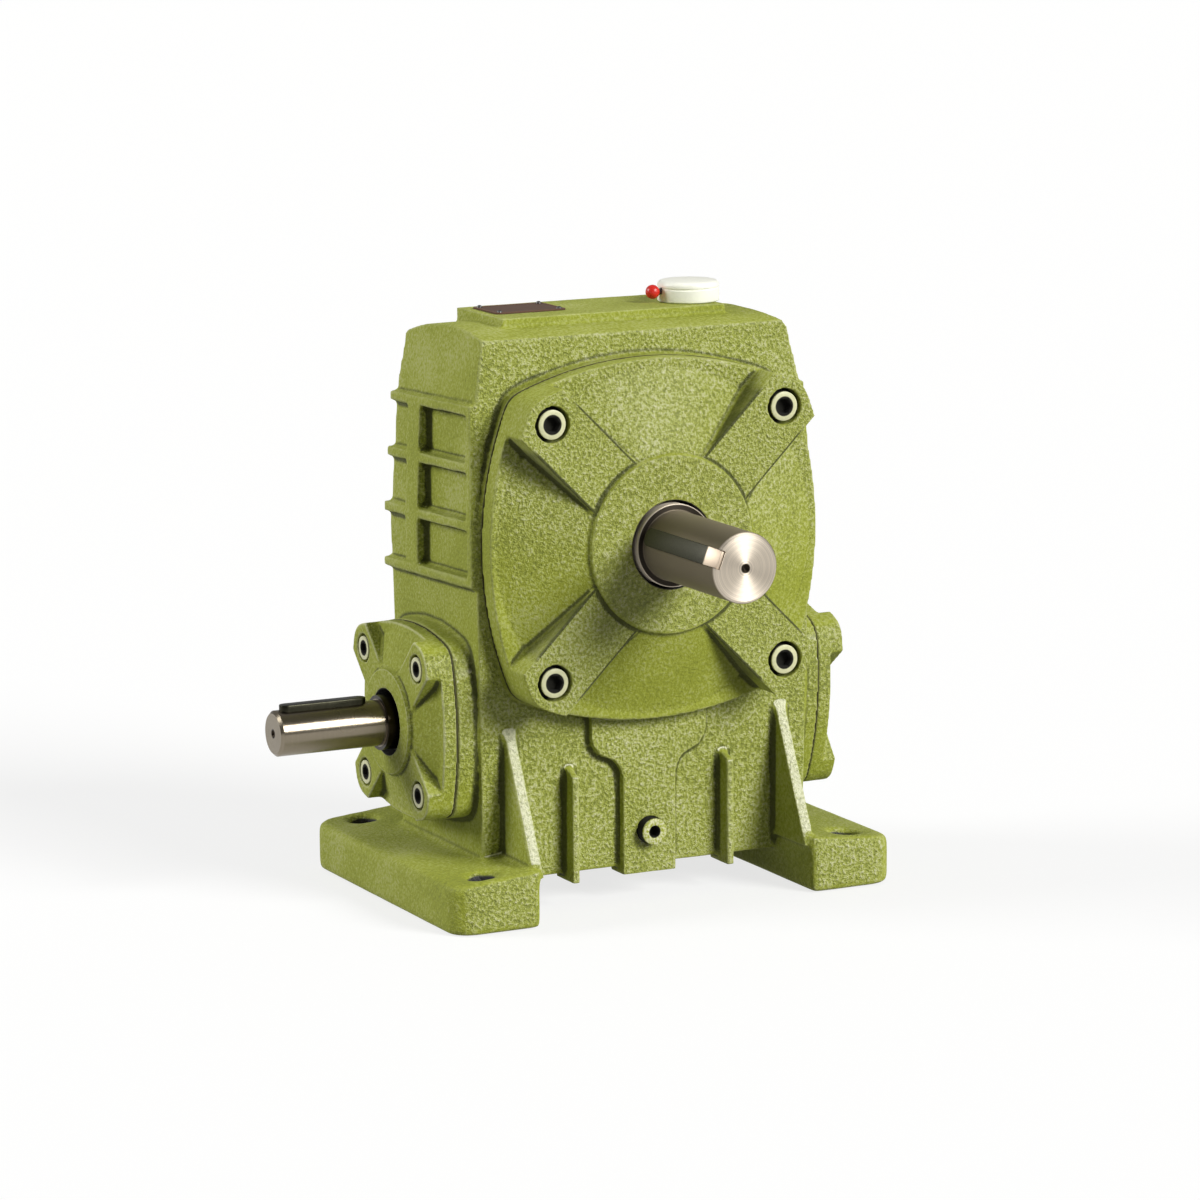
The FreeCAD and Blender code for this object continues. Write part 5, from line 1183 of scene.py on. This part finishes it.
class REDUCER_OT_stage(Operator):
    """Lay the pale floor, and set the lamps and the camera"""

    bl_idname = "reducer.stage"
    bl_label = "Stage"

    def execute(self, context):
        scene = context.scene
        studio = scene.reducer_studio
        scene.view_settings.view_transform = "Standard"
        self.lay_floor(studio)
        self.set_sky(scene, studio)
        key = direction(studio.key_turn, studio.key_rise)
        self.add_lamp("key_lamp", studio.key_power, key, studio.key_spread)
        fill = direction(-studio.fill_turn, studio.fill_rise)
        self.add_lamp("fill_lamp", studio.fill_power, fill, studio.fill_spread)
        self.set_camera(scene, studio)
        return {"FINISHED"}

    def lay_floor(self, studio):
        """A floor that looks white, keeps the shadow and lights the object only a little."""
        half = studio.floor_size / 2
        corners = [(-half, -half, 0.0), (half, -half, 0.0), (half, half, 0.0), (-half, half, 0.0)]
        mesh = bpy.data.meshes.new("floor")
        mesh.from_pydata(corners, [], [(0, 1, 2, 3)])
        floor = new_piece("floor", mesh)
        finish = Finish("pale_floor")
        ray = finish.node("ShaderNodeLightPath").outputs
        seen = finish.most(ray["Is Camera Ray"], ray["Is Glossy Ray"])
        seen = finish.most(seen, ray["Is Transmission Ray"])
        finish.set(
            Base_Color=finish.mix(seen, studio.floor_bounce, studio.floor),
            Roughness=0.9,
            Specular_IOR_Level=0.1,
            Emission_Color=WHITE,
            Emission_Strength=finish.times(seen, studio.floor_glow),
        )
        mesh.materials.append(finish.material)

    def set_sky(self, scene, studio):
        """White light all round, weaker from the front than from the rear."""
        world = bpy.data.worlds.new("studio_room")
        world.use_nodes = True
        tree = world.node_tree
        sky = tree.nodes["Background"]
        sky.inputs["Color"].default_value = (*WHITE, 1.0)
        place = tree.nodes.new("ShaderNodeTexCoord")
        apart = tree.nodes.new("ShaderNodeSeparateXYZ")
        level = tree.nodes.new("ShaderNodeMapRange")
        ends = (*SKY_REACH, studio.sky_front, studio.sky_rear)
        for socket, value in zip(("From Min", "From Max", "To Min", "To Max"), ends):
            level.inputs[socket].default_value = value
        tree.links.new(place.outputs["Generated"], apart.inputs["Vector"])
        tree.links.new(apart.outputs["Y"], level.inputs["Value"])
        tree.links.new(level.outputs["Result"], sky.inputs["Strength"])
        scene.world = world

    def add_lamp(self, name, power, way, spread):
        data = bpy.data.lights.new(name, "SUN")
        data.energy = power
        data.angle = spread
        lamp = new_piece(name, data)
        lamp.rotation_mode = "QUATERNION"
        lamp.rotation_quaternion = way.to_track_quat("Z", "Y")
        lamp.location = way * LAMP_DISTANCE

    def set_camera(self, scene, studio):
        data = bpy.data.cameras.new("photo_camera")
        data.lens = studio.lens
        data.sensor_width = SENSOR_WIDTH
        data.clip_start, data.clip_end = CLIP
        camera = new_piece("photo_camera", data)
        back = direction(studio.view_turn, studio.view_rise)
        camera.location = Vector((0.0, 0.0, studio.target_height)) + back * studio.view_distance
        camera.rotation_mode = "QUATERNION"
        level = (-back).to_track_quat("-Z", "Y")
        roll = Quaternion((0.0, 0.0, 1.0), studio.view_roll)
        lift = Quaternion((1.0, 0.0, 0.0), studio.view_lift)
        camera.rotation_quaternion = level @ roll @ lift
        scene.camera = camera


def direction(turn, rise):
    """The way out to a point that is turned to the right from the front, and raised."""
    out = math.cos(rise)
    return Vector((math.sin(turn) * out, -math.cos(turn) * out, math.sin(rise)))


# Panel and registration

GROUPS = (
    ("reducer_castings", CastingSettings),
    ("reducer_paint", PaintSettings),
    ("reducer_metal", MetalSettings),
    ("reducer_trim", TrimSettings),
    ("reducer_studio", StudioSettings),
)
OPERATORS = (
    REDUCER_OT_castings,
    REDUCER_OT_fasteners,
    REDUCER_OT_shafts,
    REDUCER_OT_gear_and_bearings,
    REDUCER_OT_seals_and_gaskets,
    REDUCER_OT_breather,
    REDUCER_OT_nameplate,
    REDUCER_OT_stage,
)


class REDUCER_PT_finish(Panel):
    """Settings and pieces of the reducer"""

    bl_label = "Worm gear reducer"
    bl_space_type = "VIEW_3D"
    bl_region_type = "UI"
    bl_category = "Reducer"

    def draw(self, context):
        for operator in OPERATORS:
            self.layout.operator(operator.bl_idname)
        for name, group in GROUPS:
            box = self.layout.box()
            box.label(text=group.__doc__)
            for key in group.__annotations__:
                box.prop(getattr(context.scene, name), key)


def register():
    for name, group in GROUPS:
        bpy.utils.register_class(group)
        setattr(bpy.types.Scene, name, PointerProperty(type=group))
    for operator in OPERATORS:
        bpy.utils.register_class(operator)
    bpy.utils.register_class(REDUCER_PT_finish)


def unregister():
    bpy.utils.unregister_class(REDUCER_PT_finish)
    for operator in reversed(OPERATORS):
        bpy.utils.unregister_class(operator)
    for name, group in reversed(GROUPS):
        delattr(bpy.types.Scene, name)
        bpy.utils.unregister_class(group)


def main():
    register()
    bpy.ops.reducer.castings()
    bpy.ops.reducer.fasteners()
    bpy.ops.reducer.shafts()
    bpy.ops.reducer.gear_and_bearings()
    bpy.ops.reducer.seals_and_gaskets()
    bpy.ops.reducer.breather()
    bpy.ops.reducer.nameplate()
    bpy.ops.reducer.stage()


if __name__ == "__main__":
    main()
